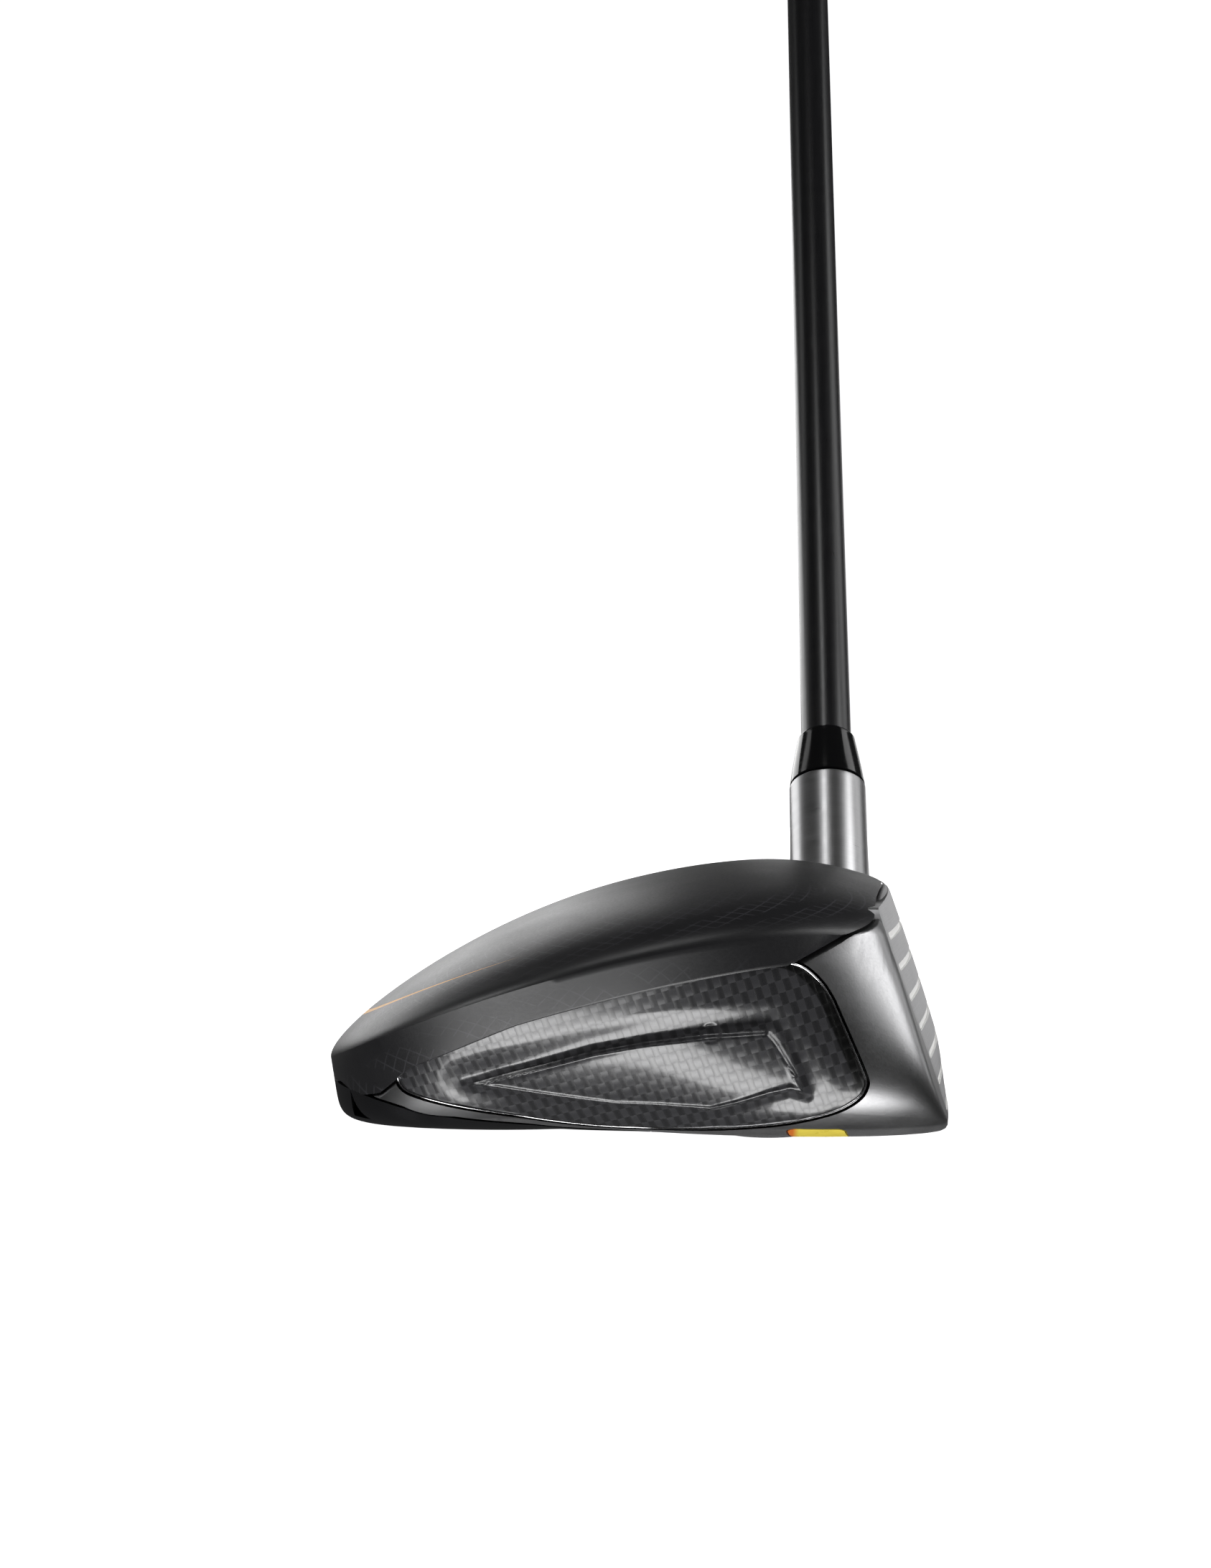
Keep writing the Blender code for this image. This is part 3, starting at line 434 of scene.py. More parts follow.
def black_metal(colours, name, low, high):
    """Black coated metal: dark satin with a slight orange peel in the coating."""
    material, tree, shader, place = new_material(name)
    peel = noise(tree, stretch(tree, place, (0.6, 0.6, 0.6)), 2.0)
    cloud = noise(tree, stretch(tree, place, (6.0, 6.0, 6.0)), 3.0)
    set_shader(tree, shader, {
        "Base Color": blend(tree, cloud, scaled(colours.black_metal, 0.8), scaled(colours.black_metal, 1.3)),
        "Metallic": 0.6,
        "Roughness": span(tree, cloud, 0.3, 0.7, low, high),
    })
    add_bump(tree, shader, peel, 0.004)
    return material


def enamel(colours):
    """Poured enamel, yellow running to orange at its tail, with a glassy and slightly uneven top."""
    material, tree, shader, place = new_material("Poured enamel")
    wave = noise(tree, stretch(tree, place, (2.0, 2.0, 2.0)), 2.0)
    ahead = add_node(tree, "ShaderNodeSeparateXYZ", {0: place}).outputs["X"]
    tail = span(tree, ahead, -7.4 * MM, -8.2 * MM, 0.0, 1.0)
    yellow = blend(tree, wave, scaled(colours.badge, 0.9), rgba(colours.badge))
    set_shader(tree, shader, {
        "Base Color": blend(tree, tail, yellow, rgba(colours.badge_tail)),
        "Roughness": span(tree, wave, 0.3, 0.7, 0.25, 0.4),
    })
    add_bump(tree, shader, wave, 0.01)
    return material


def gloss_plastic(colours):
    """Buffed black plastic: a deep gloss with faint polishing marks round it."""
    material, tree, shader, place = new_material("Buffed black plastic")
    marks = noise(tree, stretch(tree, place, (10.0, 10.0, 0.15), pi / 2.0 - LIE), 3.0)
    set_shader(tree, shader, {
        "Base Color": blend(tree, marks, scaled(colours.ferrule, 0.7), scaled(colours.ferrule, 1.4)),
        "Roughness": span(tree, marks, 0.3, 0.7, 0.08, 0.16),
    })
    add_bump(tree, shader, marks, 0.001)
    return material


def shaft_lacquer(colours):
    """Satin lacquer over wound graphite: long soft reflections and the ghost of the wrap."""
    material, tree, shader, place = new_material("Satin lacquered graphite")
    turn = pi / 2.0 - LIE
    grain = noise(tree, stretch(tree, place, (0.35, 0.35, 9.0), turn), 3.0)
    wrap = noise(tree, stretch(tree, place, (22.0, 22.0, 3.0), turn), 2.0)
    set_shader(tree, shader, {
        "Base Color": blend(tree, grain, scaled(colours.shaft, 0.75), scaled(colours.shaft, 1.35)),
        "Roughness": span(tree, math(tree, "ADD", grain, wrap), 0.6, 1.4, 0.27, 0.33),
    })
    add_bump(tree, shader, grain, 0.0004)
    return material


def grip_rubber(colours):
    """Moulded black rubber: dull, with long lighter patches of dust, and a fine skin texture."""
    material, tree, shader, place = new_material("Moulded black rubber")
    skin = noise(tree, stretch(tree, place, (0.5, 0.5, 0.5)), 4.0)
    dust = noise(tree, stretch(tree, place, (12.0, 12.0, 30.0), pi / 2.0 - LIE), 3.0)
    set_shader(tree, shader, {
        "Base Color": blend(tree, dust, scaled(colours.rubber, 0.8), scaled(colours.rubber, 1.6)),
        "Roughness": span(tree, math(tree, "ADD", skin, dust), 0.6, 1.4, 0.68, 0.86),
    })
    add_bump(tree, shader, skin, 0.06)
    return material


def plain_inner(name, colour, metallic, size, low, high):
    """Finish of a piece that stays inside the club: one colour broken up by noise of a given size."""
    material, tree, shader, place = new_material(name)
    grain = noise(tree, stretch(tree, place, (size, size, size)), 4.0)
    set_shader(tree, shader, {
        "Base Color": blend(tree, grain, scaled(colour, 0.75), scaled(colour, 1.15)),
        "Metallic": metallic,
        "Roughness": span(tree, grain, 0.3, 0.7, low, high),
    })
    add_bump(tree, shader, grain, 0.02)
    return material


# ---------------------------------------------------------------- head surface

def smooth_step(value, low, high):
    share = np.clip((value - low) / (high - low), 0.0, 1.0)
    return share * share * (3.0 - 2.0 * share)


def smooth_min(first, second, width):
    near = np.maximum(width - np.abs(first - second), 0.0) / width
    return np.minimum(first, second) - near * near * width / 4.0


def face_x(y, z):
    """X of the face: a plane leaned back by the loft, with bulge along Y and roll along Z."""
    bulge = y * y / (2.0 * BULGE_RADIUS)
    roll = (z - ROLL_CENTRE_Z) ** 2 / (2.0 * ROLL_RADIUS)
    swell = FACE_SWELL * np.exp(-((y / FACE_SWELL_REACH) ** 2)) * smooth_step(z, 3.0, 14.0)
    under = LEADING_EDGE_CURL * np.maximum(LEADING_EDGE_TOP - z, 0.0) ** 2
    return LEADING_EDGE_X - tan(LOFT) * (z - LEADING_EDGE_Z) - bulge - roll - under + swell


def shoulder_z(x):
    behind = np.maximum(-x, 0.0)
    ahead = np.clip(x - FRONT_DROP_START, 0.0, 24.0)
    rear_fall = SHOULDER_SLOPE * behind + SHOULDER_DROP * behind * behind
    return SHOULDER_HEIGHT - rear_fall - FRONT_DROP * ahead * ahead


def sole_z(x, y):
    rise = SOLE_RISE * np.maximum(SOLE_RISE_START - x, 0.0)
    return y * y / (2.0 * SOLE_CAMBER_RADIUS) + rise - SOLE_FLAT_DEPTH


def outline_reach(turn, inset):
    """Distance from the widest section's middle to the shoulder line, along the angle turn."""
    forward = np.where(np.cos(turn) > 0.0, FRONT_REACH, REAR_REACH) - inset
    sideways = np.where(np.sin(turn) < 0.0, TOE_REACH, HEEL_REACH) - inset
    total = (np.abs(np.cos(turn)) / forward) ** OUTLINE_POWER
    total = total + (np.abs(np.sin(turn)) / sideways) ** OUTLINE_POWER
    return total ** (-1.0 / OUTLINE_POWER)


def blend_round(turn, side, front, rear):
    """A value that is one thing at toe and heel, another at the front and another at the rear."""
    to_front = smooth_step(np.cos(turn), 0.0, 0.85)
    to_rear = smooth_step(-np.cos(turn), 0.35, 0.95)
    return side + (front - side) * to_front + (rear - side) * to_rear


def head_point(turn, level, inset=0.0):
    """Point of the head's skin, in millimetres.

    turn is the angle round the head. level runs from -1 at the crown's middle to 0 at the
    shoulder line and 1 at the sole's middle. inset moves the skin inwards.
    """
    turn, level = np.broadcast_arrays(turn, level)
    full = outline_reach(turn, 0.0)
    reach = outline_reach(turn, inset)
    up = np.sin(np.clip(1.0 + level, 0.0, 1.0) * pi / 2.0)
    crown_x = WIDEST_X + up * reach * np.cos(turn)
    crown_y = up * reach * np.sin(turn)
    dome = (CROWN_RISE - inset) * np.sqrt(np.maximum(1.0 - up * up, 0.0))
    crown_z = shoulder_z(WIDEST_X + up * full * np.cos(turn)) + dome
    down = np.clip(level, 0.0, 1.0) * pi / 2.0
    width = np.abs(np.cos(down)) ** (2.0 / blend_round(turn, *WIDTH_POWERS))
    width = np.where(level < 1.0, width, 0.0)
    drop = np.sin(down) ** (2.0 / blend_round(turn, *DROP_POWERS))
    taper = blend_round(turn, TOE_TAPER, FRONT_TAPER, REAR_TAPER)
    wall_reach = (reach - taper * drop) * width
    wall_x = WIDEST_X + wall_reach * np.cos(turn)
    wall_y = wall_reach * np.sin(turn)
    top_z = shoulder_z(WIDEST_X + full * np.cos(turn))
    wall_z = top_z - (top_z - sole_z(wall_x, wall_y) - inset) * drop
    on_crown = level < 0.0
    x = np.where(on_crown, crown_x, wall_x)
    y = np.where(on_crown, crown_y, wall_y)
    z = np.where(on_crown, crown_z, wall_z)
    x = smooth_min(x, face_x(y, z) - inset, FACE_CORNER)
    return np.stack([x, y, z], axis=-1)


def level_of_drop(turn, drop):
    """Level at which the wall has come down by this share of its height."""
    power = blend_round(turn, *DROP_POWERS)
    below = np.arcsin(np.clip(drop, 0.0, 1.0) ** (power / 2.0)) * 2.0 / pi
    return np.where(drop > 0.0, below, drop)


def level_of_width(turn, width):
    """Level at which the wall and sole have come in to this share of their reach."""
    power = blend_round(turn, *WIDTH_POWERS)
    return np.arccos(np.clip(width, 0.0, 1.0) ** (power / 2.0)) * 2.0 / pi


def crown_edge(turn, lower=0.0):
    """Level of the crown's edge, by the angle from straight toe or heel. lower moves it down."""
    angle = np.degrees(np.arcsin(np.clip(np.cos(turn), -1.0, 1.0)))
    drop = np.interp(angle, CROWN_EDGE_ANGLES, CROWN_EDGE_DROPS) + lower
    level = level_of_drop(turn, drop)
    meets_face = level_of_topline(turn, lower)
    return np.minimum(level, meets_face)


def level_of_topline(turn, lower):
    """Level at which the crown runs into the face, found by halving."""
    low = np.full_like(turn, -0.95)
    high = np.full_like(turn, 1.0)
    for _ in range(24):
        middle = (low + high) / 2.0
        point = head_point(turn, np.minimum(middle, 0.0))
        up = np.sin(np.clip(1.0 + middle, 0.0, 1.0) * pi / 2.0)
        free_x = WIDEST_X + up * outline_reach(turn, 0.0) * np.cos(turn)
        before = free_x < face_x(point[..., 1], point[..., 2]) - TOPLINE_BACK * (1.0 - lower / LIP_DROP)
        low = np.where(before, middle, low)
        high = np.where(before, high, middle)
    return low


def inside_wall(x, y, z):
    """True where a point lies inside the head's side wall."""
    turn = np.arctan2(y, x - WIDEST_X)
    reach = outline_reach(turn, 0.0)
    top_z = shoulder_z(WIDEST_X + reach * np.cos(turn))
    drop = np.clip((top_z - z) / (top_z - sole_z(x, y)), 0.0, 1.0)
    down = np.arcsin(drop ** (blend_round(turn, *DROP_POWERS) / 2.0))
    width = np.abs(np.cos(down)) ** (2.0 / blend_round(turn, *WIDTH_POWERS))
    taper = blend_round(turn, TOE_TAPER, FRONT_TAPER, REAR_TAPER)
    return np.hypot(x - WIDEST_X, y) < (reach - taper * drop) * width


def wall_y(x, z, side):
    """Y of the side wall over a point of the X-Z plane, found by halving. side is -1 at the toe."""
    near = np.zeros_like(x)
    far = np.full_like(x, 60.0)
    for _ in range(24):
        middle = (near + far) / 2.0
        inside = inside_wall(x, side * middle, z)
        near = np.where(inside, middle, near)
        far = np.where(inside, far, middle)
    return side * near


def rounded_outline(corners, radii, steps):
    """Closed outline with each corner turned by an arc, as points in order."""
    corners = [np.array(corner, float) for corner in corners]
    count = len(corners)
    points = []
    for i in range(count):
        corner = corners[i]
        before = corners[i - 1] - corner
        after = corners[(i + 1) % count] - corner
        before_length = np.linalg.norm(before)
        after_length = np.linalg.norm(after)
        before = before / before_length
        after = after / after_length
        half = np.arccos(np.clip(before @ after, -1.0, 1.0)) / 2.0
        longest = 0.49 * min(before_length, after_length) * tan(half)
        radius = min(radii[i], longest)
        middle = before + after
        middle = middle / np.linalg.norm(middle)
        centre = corner + middle * radius / sin(half)
        start = corner + before * radius / tan(half) - centre
        end = corner + after * radius / tan(half) - centre
        turn = np.arctan2(start[0] * end[1] - start[1] * end[0], start @ end)
        for share in np.linspace(0.0, 1.0, steps):
            angle = turn * share
            rotate = np.array([[cos(angle), -sin(angle)], [sin(angle), cos(angle)]])
            points.append(centre + rotate @ start)
    return np.array(points)


def shrink_outline(points, inset):
    """Moves each point of a closed outline inwards by inset, square to the outline."""
    along = np.roll(points, -1, axis=0) - np.roll(points, 1, axis=0)
    normal = np.stack([-along[:, 1], along[:, 0]], axis=-1)
    normal = normal / np.linalg.norm(normal, axis=-1, keepdims=True)
    area = np.sum(points[:, 0] * np.roll(points[:, 1], -1) - np.roll(points[:, 0], -1) * points[:, 1])
    return points + normal * inset * np.sign(area)


def spread_outline(points, rings, centre):
    """Grid that fills an outline: rings from its centre out to its edge."""
    shares = np.linspace(0.0, 1.0, rings)[:, None, None]
    return centre + shares * (points - centre)


def face_outline(grow):
    return shrink_outline(rounded_outline(FACE_CORNERS, FACE_RADII, OUTLINE_STEPS), -grow)

def shaft_radius(station):
    butt = CLUB_LENGTH - GRIP_CAP_LENGTH
    share = np.clip((station - FERRULE_END) / (butt - FERRULE_END), 0.0, 1.0)
    return SHAFT_TIP_RADIUS + (SHAFT_BUTT_RADIUS - SHAFT_TIP_RADIUS) * share ** SHAFT_TAPER_POWER


def tube_profile(stations, outer, inner):
    """Closed profile of a tube: down its outer side and back up its bore."""
    down = [(outer(station), station) for station in reversed(stations)]
    back = [(inner(station), station) for station in stations]
    return down + back

def tape_bore(station):
    return shaft_radius(station) + GAP


def tape_radius(station):
    return tape_bore(station) + GRIP_TAPE_WALL


def grip_bore(station):
    return tape_radius(station) + GAP


def grip_radius(station):
    """Straight taper from the mouth, easing into the wider butt."""
    mouth = CLUB_LENGTH - GRIP_LENGTH
    share = np.clip((station - mouth) / (GRIP_LENGTH - GRIP_CAP_LENGTH), 0.0, 1.0)
    return GRIP_MOUTH_RADIUS + (GRIP_BUTT_RADIUS - GRIP_MOUTH_RADIUS) * share ** 1.3

# ---------------------------------------------------------------- mesh helpers

def grid_piece(name, points, wrap_rows=False, wrap_columns=True):
    """Object of quads over a grid of points in millimetres. Rows that meet at a pole are welded."""
    rows, columns = points.shape[:2]
    index = np.arange(rows * columns).reshape(rows, columns)
    if wrap_rows:
        index = np.concatenate([index, index[:1]])
    if wrap_columns:
        index = np.concatenate([index, index[:, :1]], axis=1)
    quads = np.stack([index[:-1, :-1], index[1:, :-1], index[1:, 1:], index[:-1, 1:]], axis=-1)
    mesh = bpy.data.meshes.new(name)
    mesh.from_pydata((points.reshape(-1, 3) * MM).tolist(), [], quads.reshape(-1, 4).tolist())
    weld(mesh)
    obj = bpy.data.objects.new(name, mesh)
    bpy.context.scene.collection.objects.link(obj)
    return obj


def weld(mesh):
    built = bmesh.new()
    built.from_mesh(mesh)
    bmesh.ops.remove_doubles(built, verts=built.verts, dist=1e-7)
    bmesh.ops.recalc_face_normals(built, faces=built.faces)
    built.to_mesh(mesh)
    built.free()


def combine(obj, others, operation="DIFFERENCE"):
    """Applies a Boolean of the object with each of the others, and removes them."""
    for other in others:
        modifier = obj.modifiers.new(other.name, "BOOLEAN")
        modifier.operation = operation
        modifier.object = other
        modifier.solver = "MANIFOLD"
    bpy.context.view_layer.update()
    graph = bpy.context.evaluated_depsgraph_get()
    mesh = bpy.data.meshes.new_from_object(obj.evaluated_get(graph))
    obj.modifiers.clear()
    obj.data = mesh
    for other in others:
        bpy.data.objects.remove(other)
    if not mesh.polygons:
        raise RuntimeError(obj.name + " came out empty")
    return obj


def finish_piece(obj, node, body, material, sharp=32.0):
    """Shades a piece, gives it its finish, and hands it to the CAD body in place of the node that it stands for."""
    obj.data.shade_smooth()
    obj.data.set_sharp_from_angle(angle=radians(sharp))
    if material is not None:
        obj.data.materials.clear()
        obj.data.materials.append(material)
    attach(obj, body)
    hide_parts(node)
    return obj


def store(obj, name, values):
    """Keeps one number for each point of the mesh."""
    attribute = obj.data.attributes.new(name, "FLOAT", "POINT")
    attribute.data.foreach_set("value", np.asarray(values, np.float32))


def places(obj):
    """Points of an object's mesh, in millimetres."""
    values = np.empty(len(obj.data.vertices) * 3, np.float32)
    obj.data.vertices.foreach_get("co", values)
    return values.reshape(-1, 3).astype(float) / MM


def even_outline(points, count):
    """A closed outline given again as evenly spaced points."""
    closed = np.concatenate([points, points[:1]])
    lengths = np.concatenate([[0.0], np.cumsum(np.linalg.norm(np.diff(closed, axis=0), axis=1))])
    wanted = np.linspace(0.0, lengths[-1], count, endpoint=False)
    return np.stack([np.interp(wanted, lengths, closed[:, i]) for i in range(closed.shape[1])], axis=-1)


def soft_outline(points, rounds=3):
    """Cuts the corners of a closed outline again and again, a quarter of each side at a time."""
    points = np.array(points, float)
    for _ in range(rounds):
        after = np.roll(points, -1, axis=0)
        points = np.stack([0.75 * points + 0.25 * after, 0.25 * points + 0.75 * after], axis=1)
        points = points.reshape(-1, 2)
    return points


def outline_depth(x, z, outline):
    """Distance of each point inside a closed outline from its edge, negative outside it."""
    start = np.array(outline, float)
    side = np.roll(start, -1, axis=0) - start
    away = np.stack([x, z], axis=-1)[..., None, :] - start
    share = np.clip((away * side).sum(-1) / (side * side).sum(-1), 0.0, 1.0)
    distance = np.linalg.norm(away - share[..., None] * side, axis=-1).min(-1)
    end = start + side
    crosses = (start[:, 1] > z[..., None]) != (end[:, 1] > z[..., None])
    rise = np.where(np.abs(side[:, 1]) < 1e-9, 1e-9, side[:, 1])
    meets = start[:, 0] + (z[..., None] - start[:, 1]) * side[:, 0] / rise
    inside = (crosses & (x[..., None] < meets)).sum(-1) % 2 == 1
    return np.where(inside, distance, -distance)


# ---------------------------------------------------------------- head pieces

TURNS = np.linspace(0.0, 2.0 * pi, 320, endpoint=False)


def between(start, end, rows):
    return start + (end - start) * np.linspace(0.0, 1.0, rows)[:, None]


def rows_at(levels, inset=0.0):
    """Rows of the skin at the given levels, each all the way round."""
    return head_point(TURNS[None, :], levels, inset)


def sole_levels(rows):
    return level_of_width(TURNS[None, :], np.linspace(CORNER_WIDTH, 0.0, rows)[:, None])


def envelope(name, inset=0.0):
    """The head's whole closed skin: crown rows, wall rows and sole rows from the head formula."""
    shoulder = np.zeros_like(TURNS)
    wall = between(shoulder, level_of_width(TURNS, CORNER_WIDTH), 60)
    levels = np.concatenate([between(shoulder - 1.0, shoulder, 40), wall[1:], sole_levels(24)[1:]])
    return grid_piece(name, rows_at(levels, inset))


def body_piece():
    """Body casting: the skin from the crown's edge to the sole, a sunk ledge, and an inner skin."""
    edge = crown_edge(TURNS)
    corner = level_of_width(TURNS, CORNER_WIDTH)
    sunk = CROWN_WALL + LEDGE_ROOM
    ledge = between(edge - LEDGE_HEIGHT, edge, 4)
    lower = np.minimum(edge + LEDGE_BLEND, corner - 0.02)
    points = np.concatenate([
        rows_at(sole_levels(12), BODY_WALL)[:0:-1],
        rows_at(between(lower, corner, 20), BODY_WALL)[::-1],
        rows_at(ledge, sunk + BODY_WALL)[::-1],
        rows_at(ledge, sunk),
        rows_at(crown_edge(TURNS, LIP_DROP)[None, :], 0.15),
        rows_at(between(crown_edge(TURNS, LIP_DROP * 1.6), corner, 70)),
        rows_at(sole_levels(30)[1:]),
    ])
    return grid_piece("body_casting", points)


def crown_grid(name, lower, wall, round_edge):
    """Crown shell: outer rows from the dome's top to the edge, a rounded lip, and inner rows back up."""
    edge = crown_edge(TURNS, lower)
    lip = edge - 0.004
    top = np.full_like(TURNS, -1.0)
    bend = np.minimum(lip, 0.0)
    parts = [rows_at(between(top, bend, 90)), rows_at(between(bend, lip, 20)[1:])]
    if round_edge:
        parts.append(rows_at((edge - 0.001)[None, :], 0.1))
        parts.append(rows_at(edge[None, :], 0.3))
    parts.append(rows_at(between(edge, top, 40), wall))
    return grid_piece(name, np.concatenate(parts))


def face_block(name, grow, front, back):
    """The face outline filled with rings, laid on the bulged and rolled face, and given a thickness."""
    outline = even_outline(face_outline(grow), 240)
    flat = spread_outline(outline, 40, np.array([0.0, 18.0]))
    rim = outline[None]
    layers = [(flat[:-1], front), (spread_outline(outline, 40, np.array([0.0, 18.0]))[-1:], front - 0.12)]
    if grow > 0.0:
        layers[1] = (rim, front)
    layers.append((flat[::-1], back))
    sheets = []
    for sheet, offset in layers:
        y, z = sheet[..., 0], sheet[..., 1]
        sheets.append(np.stack([face_x(y, z) + offset, y, z], axis=-1))
    return grid_piece(name, np.concatenate(sheets))


def score_cutter(height, start, end):
    """A bar laid along the face at one height, sunk by the groove's depth, its ends drawn to a half circle."""
    round_off = np.linspace(0.0, pi / 2.0, 8)
    middle = np.linspace(start, end, 60)
    along = np.concatenate([
        start - SCORE_HALF_WIDTH * np.cos(round_off), middle[1:-1], end + SCORE_HALF_WIDTH * np.cos(round_off[::-1]),
    ])
    half = SCORE_HALF_WIDTH * np.concatenate([np.sin(round_off), np.ones(58), np.sin(round_off[::-1])])
    corners = ((-1.0, 1.0), (1.0, 1.0), (1.0, -SCORE_DEPTH), (-1.0, -SCORE_DEPTH))
    sides = []
    for across, offset in corners:
        z = height + across * half
        sides.append(np.stack([face_x(along, z) + offset, along, z], axis=-1))
    return grid_piece("score_cutter", np.stack(sides, axis=1))


def window_outline(side, lift=0.0):
    """The side window's outline in the X-Z plane. lift raises its top edge under the crown."""
    if side > 0:
        outline = rounded_outline(HEEL_WINDOW, WINDOW_RADII, 10)
        return even_outline(outline, 360)
    top = np.array(TOE_WINDOW_TOP) + [0.0, lift]
    return even_outline(soft_outline(np.concatenate([top, TOE_WINDOW_FOOT])), 360)


def on_wall(flat, recess, side):
    x, z = flat[..., 0], flat[..., 1]
    return np.stack([x, wall_y(x, z, side) - side * recess, z], axis=-1)


def window_cutter(side):
    outline = window_outline(side, WINDOW_LIFT)
    flat = spread_outline(outline, 12, outline.mean(axis=0))
    points = np.concatenate([on_wall(flat, -4.0, side), on_wall(flat[::-1], 7.0, side)])
    return grid_piece("window_cutter", points)


def blade_height(x, z):
    """Height of the raised blade: a bevelled edge, a flat that leans, and a round pin hole."""
    depth = outline_depth(x, z, BLADE)
    bevel = smooth_step(depth, -0.25, 0.45)
    ridge = 0.3 * np.exp(-((depth - 0.4) / 0.3) ** 2) * smooth_step(16.0 - z, 0.0, 5.0)
    lean = 0.55 + 0.45 * smooth_step(z, 6.0, 17.0)
    pin = smooth_step(np.hypot(x - PIN_AT[0], z - PIN_AT[1]), 1.0, 1.3)
    hollow = 0.5 * smooth_step(-depth, 0.0, 1.2) * (1.0 - smooth_step(-depth, 1.2, 4.0))
    return BLADE_HEIGHT * bevel * lean + ridge - hollow - 0.12 * (1.0 - pin)


def panel_piece(name, side):
    """Side panel: the window's outline filled with rings, sunk into a groove at its rim."""
    outline = window_outline(side, WINDOW_LIFT)
    true_outline = window_outline(side, WINDOW_LIFT)
    centre = outline.mean(axis=0)
    flat = spread_outline(shrink_outline(outline, 0.06), 110, centre)
    depth = outline_depth(flat[..., 0], flat[..., 1], true_outline)
    rise = smooth_step(depth, GROOVE_WIDTH - 0.08, GROOVE_WIDTH + 0.08)
    recess = GROOVE_DEPTH + (PANEL_RECESS - GROOVE_DEPTH) * rise
    x, z = flat[..., 0], flat[..., 1]
    recess = recess - rise * (blade_height(x, z) if side < 0 else 0.0)
    front = on_wall(flat, 0.0, side)
    front[..., 1] -= side * recess
    back = on_wall(flat[::-1], 2.2, side)
    panel = grid_piece(name, np.concatenate([front, back]))
    points = places(panel)
    inside = outline_depth(points[:, 0], points[:, 2], true_outline)
    # Painted shade: towards the panel's front edge the black band is widened onto the weave by this much.
    rim = PAINTED_SHADE_WIDTH * smooth_step(points[:, 0], -16.0, -3.0) * smooth_step(points[:, 2], 4.0, 10.0)
    store(panel, "groove", (inside < GROOVE_WIDTH + rim).astype(float))
    return panel


def wire_piece(name, side):
    """Bright wire round the panel: a circle swept along the outline just inside the groove."""
    outline = even_outline(shrink_outline(window_outline(side, WINDOW_LIFT), GROOVE_WIDTH), 360)
    path = on_wall(outline, PANEL_RECESS - 0.05, side)
    along = np.roll(path, -1, axis=0) - np.roll(path, 1, axis=0)
    along = along / np.linalg.norm(along, axis=1, keepdims=True)
    out = np.array([0.0, float(side), 0.0])
    across = np.cross(along, out)
    across = across / np.linalg.norm(across, axis=1, keepdims=True)
    up = np.cross(across, along)
    angles = np.linspace(0.0, 2.0 * pi, 10, endpoint=False)[:, None, None]
    points = path + TRIM_RADIUS * (np.cos(angles) * across + np.sin(angles) * up)
    return grid_piece(name, points, wrap_rows=True)


# ---------------------------------------------------------------- turned pieces

AXIS = np.array([0.0, cos(LIE), sin(LIE)])
ACROSS = np.array([1.0, 0.0, 0.0])
UPRIGHT = np.cross(AXIS, ACROSS)


def turned_piece(name, profile, steps=96, reach=None, upright=False, at=(0.0, 0.0)):
    """Profile of (radius, station) turned round the shaft's axis, or round a vertical one.

    reach(angle, radius, station) may change the radius with the angle. The profile is a closed
    loop, or starts and ends on the axis.
    """
    radius, station = np.array(profile, float).T[:, :, None]
    angle = np.linspace(0.0, 2.0 * pi, steps, endpoint=False)[None, :]
    radius = radius + 0.0 * angle if reach is None else reach(angle, radius, station)
    closed = np.min(np.array(profile)[:, 0]) > 0.0
    if upright:
        x = at[0] + radius * np.cos(angle)
        y = at[1] + radius * np.sin(angle)
        points = np.stack([x, y, station + 0.0 * angle], axis=-1)
        return grid_piece(name, points, wrap_rows=closed)
    foot = np.array([0.0, SHAFT_AXIS_Y, 0.0])
    points = foot + station[..., None] * AXIS
    points = points + (radius * np.cos(angle))[..., None] * ACROSS
    points = points + (radius * np.sin(angle))[..., None] * UPRIGHT
    return grid_piece(name, points, wrap_rows=closed)


def arc(centre, radius, start, end, steps=8):
    """Points (radius, station) on an arc, from one angle in degrees to another."""
    angles = np.radians(np.linspace(start, end, steps))
    return [(centre[0] + radius * cos(a), centre[1] + radius * sin(a)) for a in angles]


def neck_flare(angle, radius, station):
    """The hosel's radius, widened where it reaches the heel and drawn in below, inside the head."""
    widen = 2.6 * (1.0 - smooth_step(station, 31.0, 47.0)) * smooth_step(station, 10.0, 30.0)
    widen = widen * smooth_step(np.sin(angle), -0.2, 1.0)
    merge = 0.35 + 0.65 * smooth_step(station, 12.0, 32.0)
    return np.where(radius > HOSEL_RADIUS - 0.5, radius * merge + widen, np.minimum(radius, 0.3 + 0.2 * station))


def grip_cuts(angle, radius, station):
    """Grip radius with shallow crossed grooves cut round it, left plain near its ends and cap."""
    mouth = CLUB_LENGTH - GRIP_LENGTH
    band = smooth_step(station, mouth + 14.0, mouth + 20.0)
    band = band * (1.0 - smooth_step(station, CLUB_LENGTH - 30.0, CLUB_LENGTH - 24.0))
    turns = 12.0 * angle / (2.0 * pi)
    first = np.abs((turns + station / 9.0) % 1.0 - 0.5)
    second = np.abs((turns - station / 9.0) % 1.0 - 0.5)
    groove = np.maximum(smooth_step(first, 0.40, 0.47), smooth_step(second, 0.40, 0.47))
    outer = radius > grip_bore(station) + 0.5
    return radius - np.where(outer, 0.45 * groove * band, 0.0)


def star_socket(angle, radius, station):
    """Lobed socket: the screw's innermost walls go in and out six times round."""
    lobes = 1.0 + 0.12 * np.cos(6.0 * angle)
    return np.where(radius < SOCKET_RADIUS + 0.1, radius * lobes, radius + 0.0 * angle)


# ---------------------------------------------------------------- blocks and stage numbers

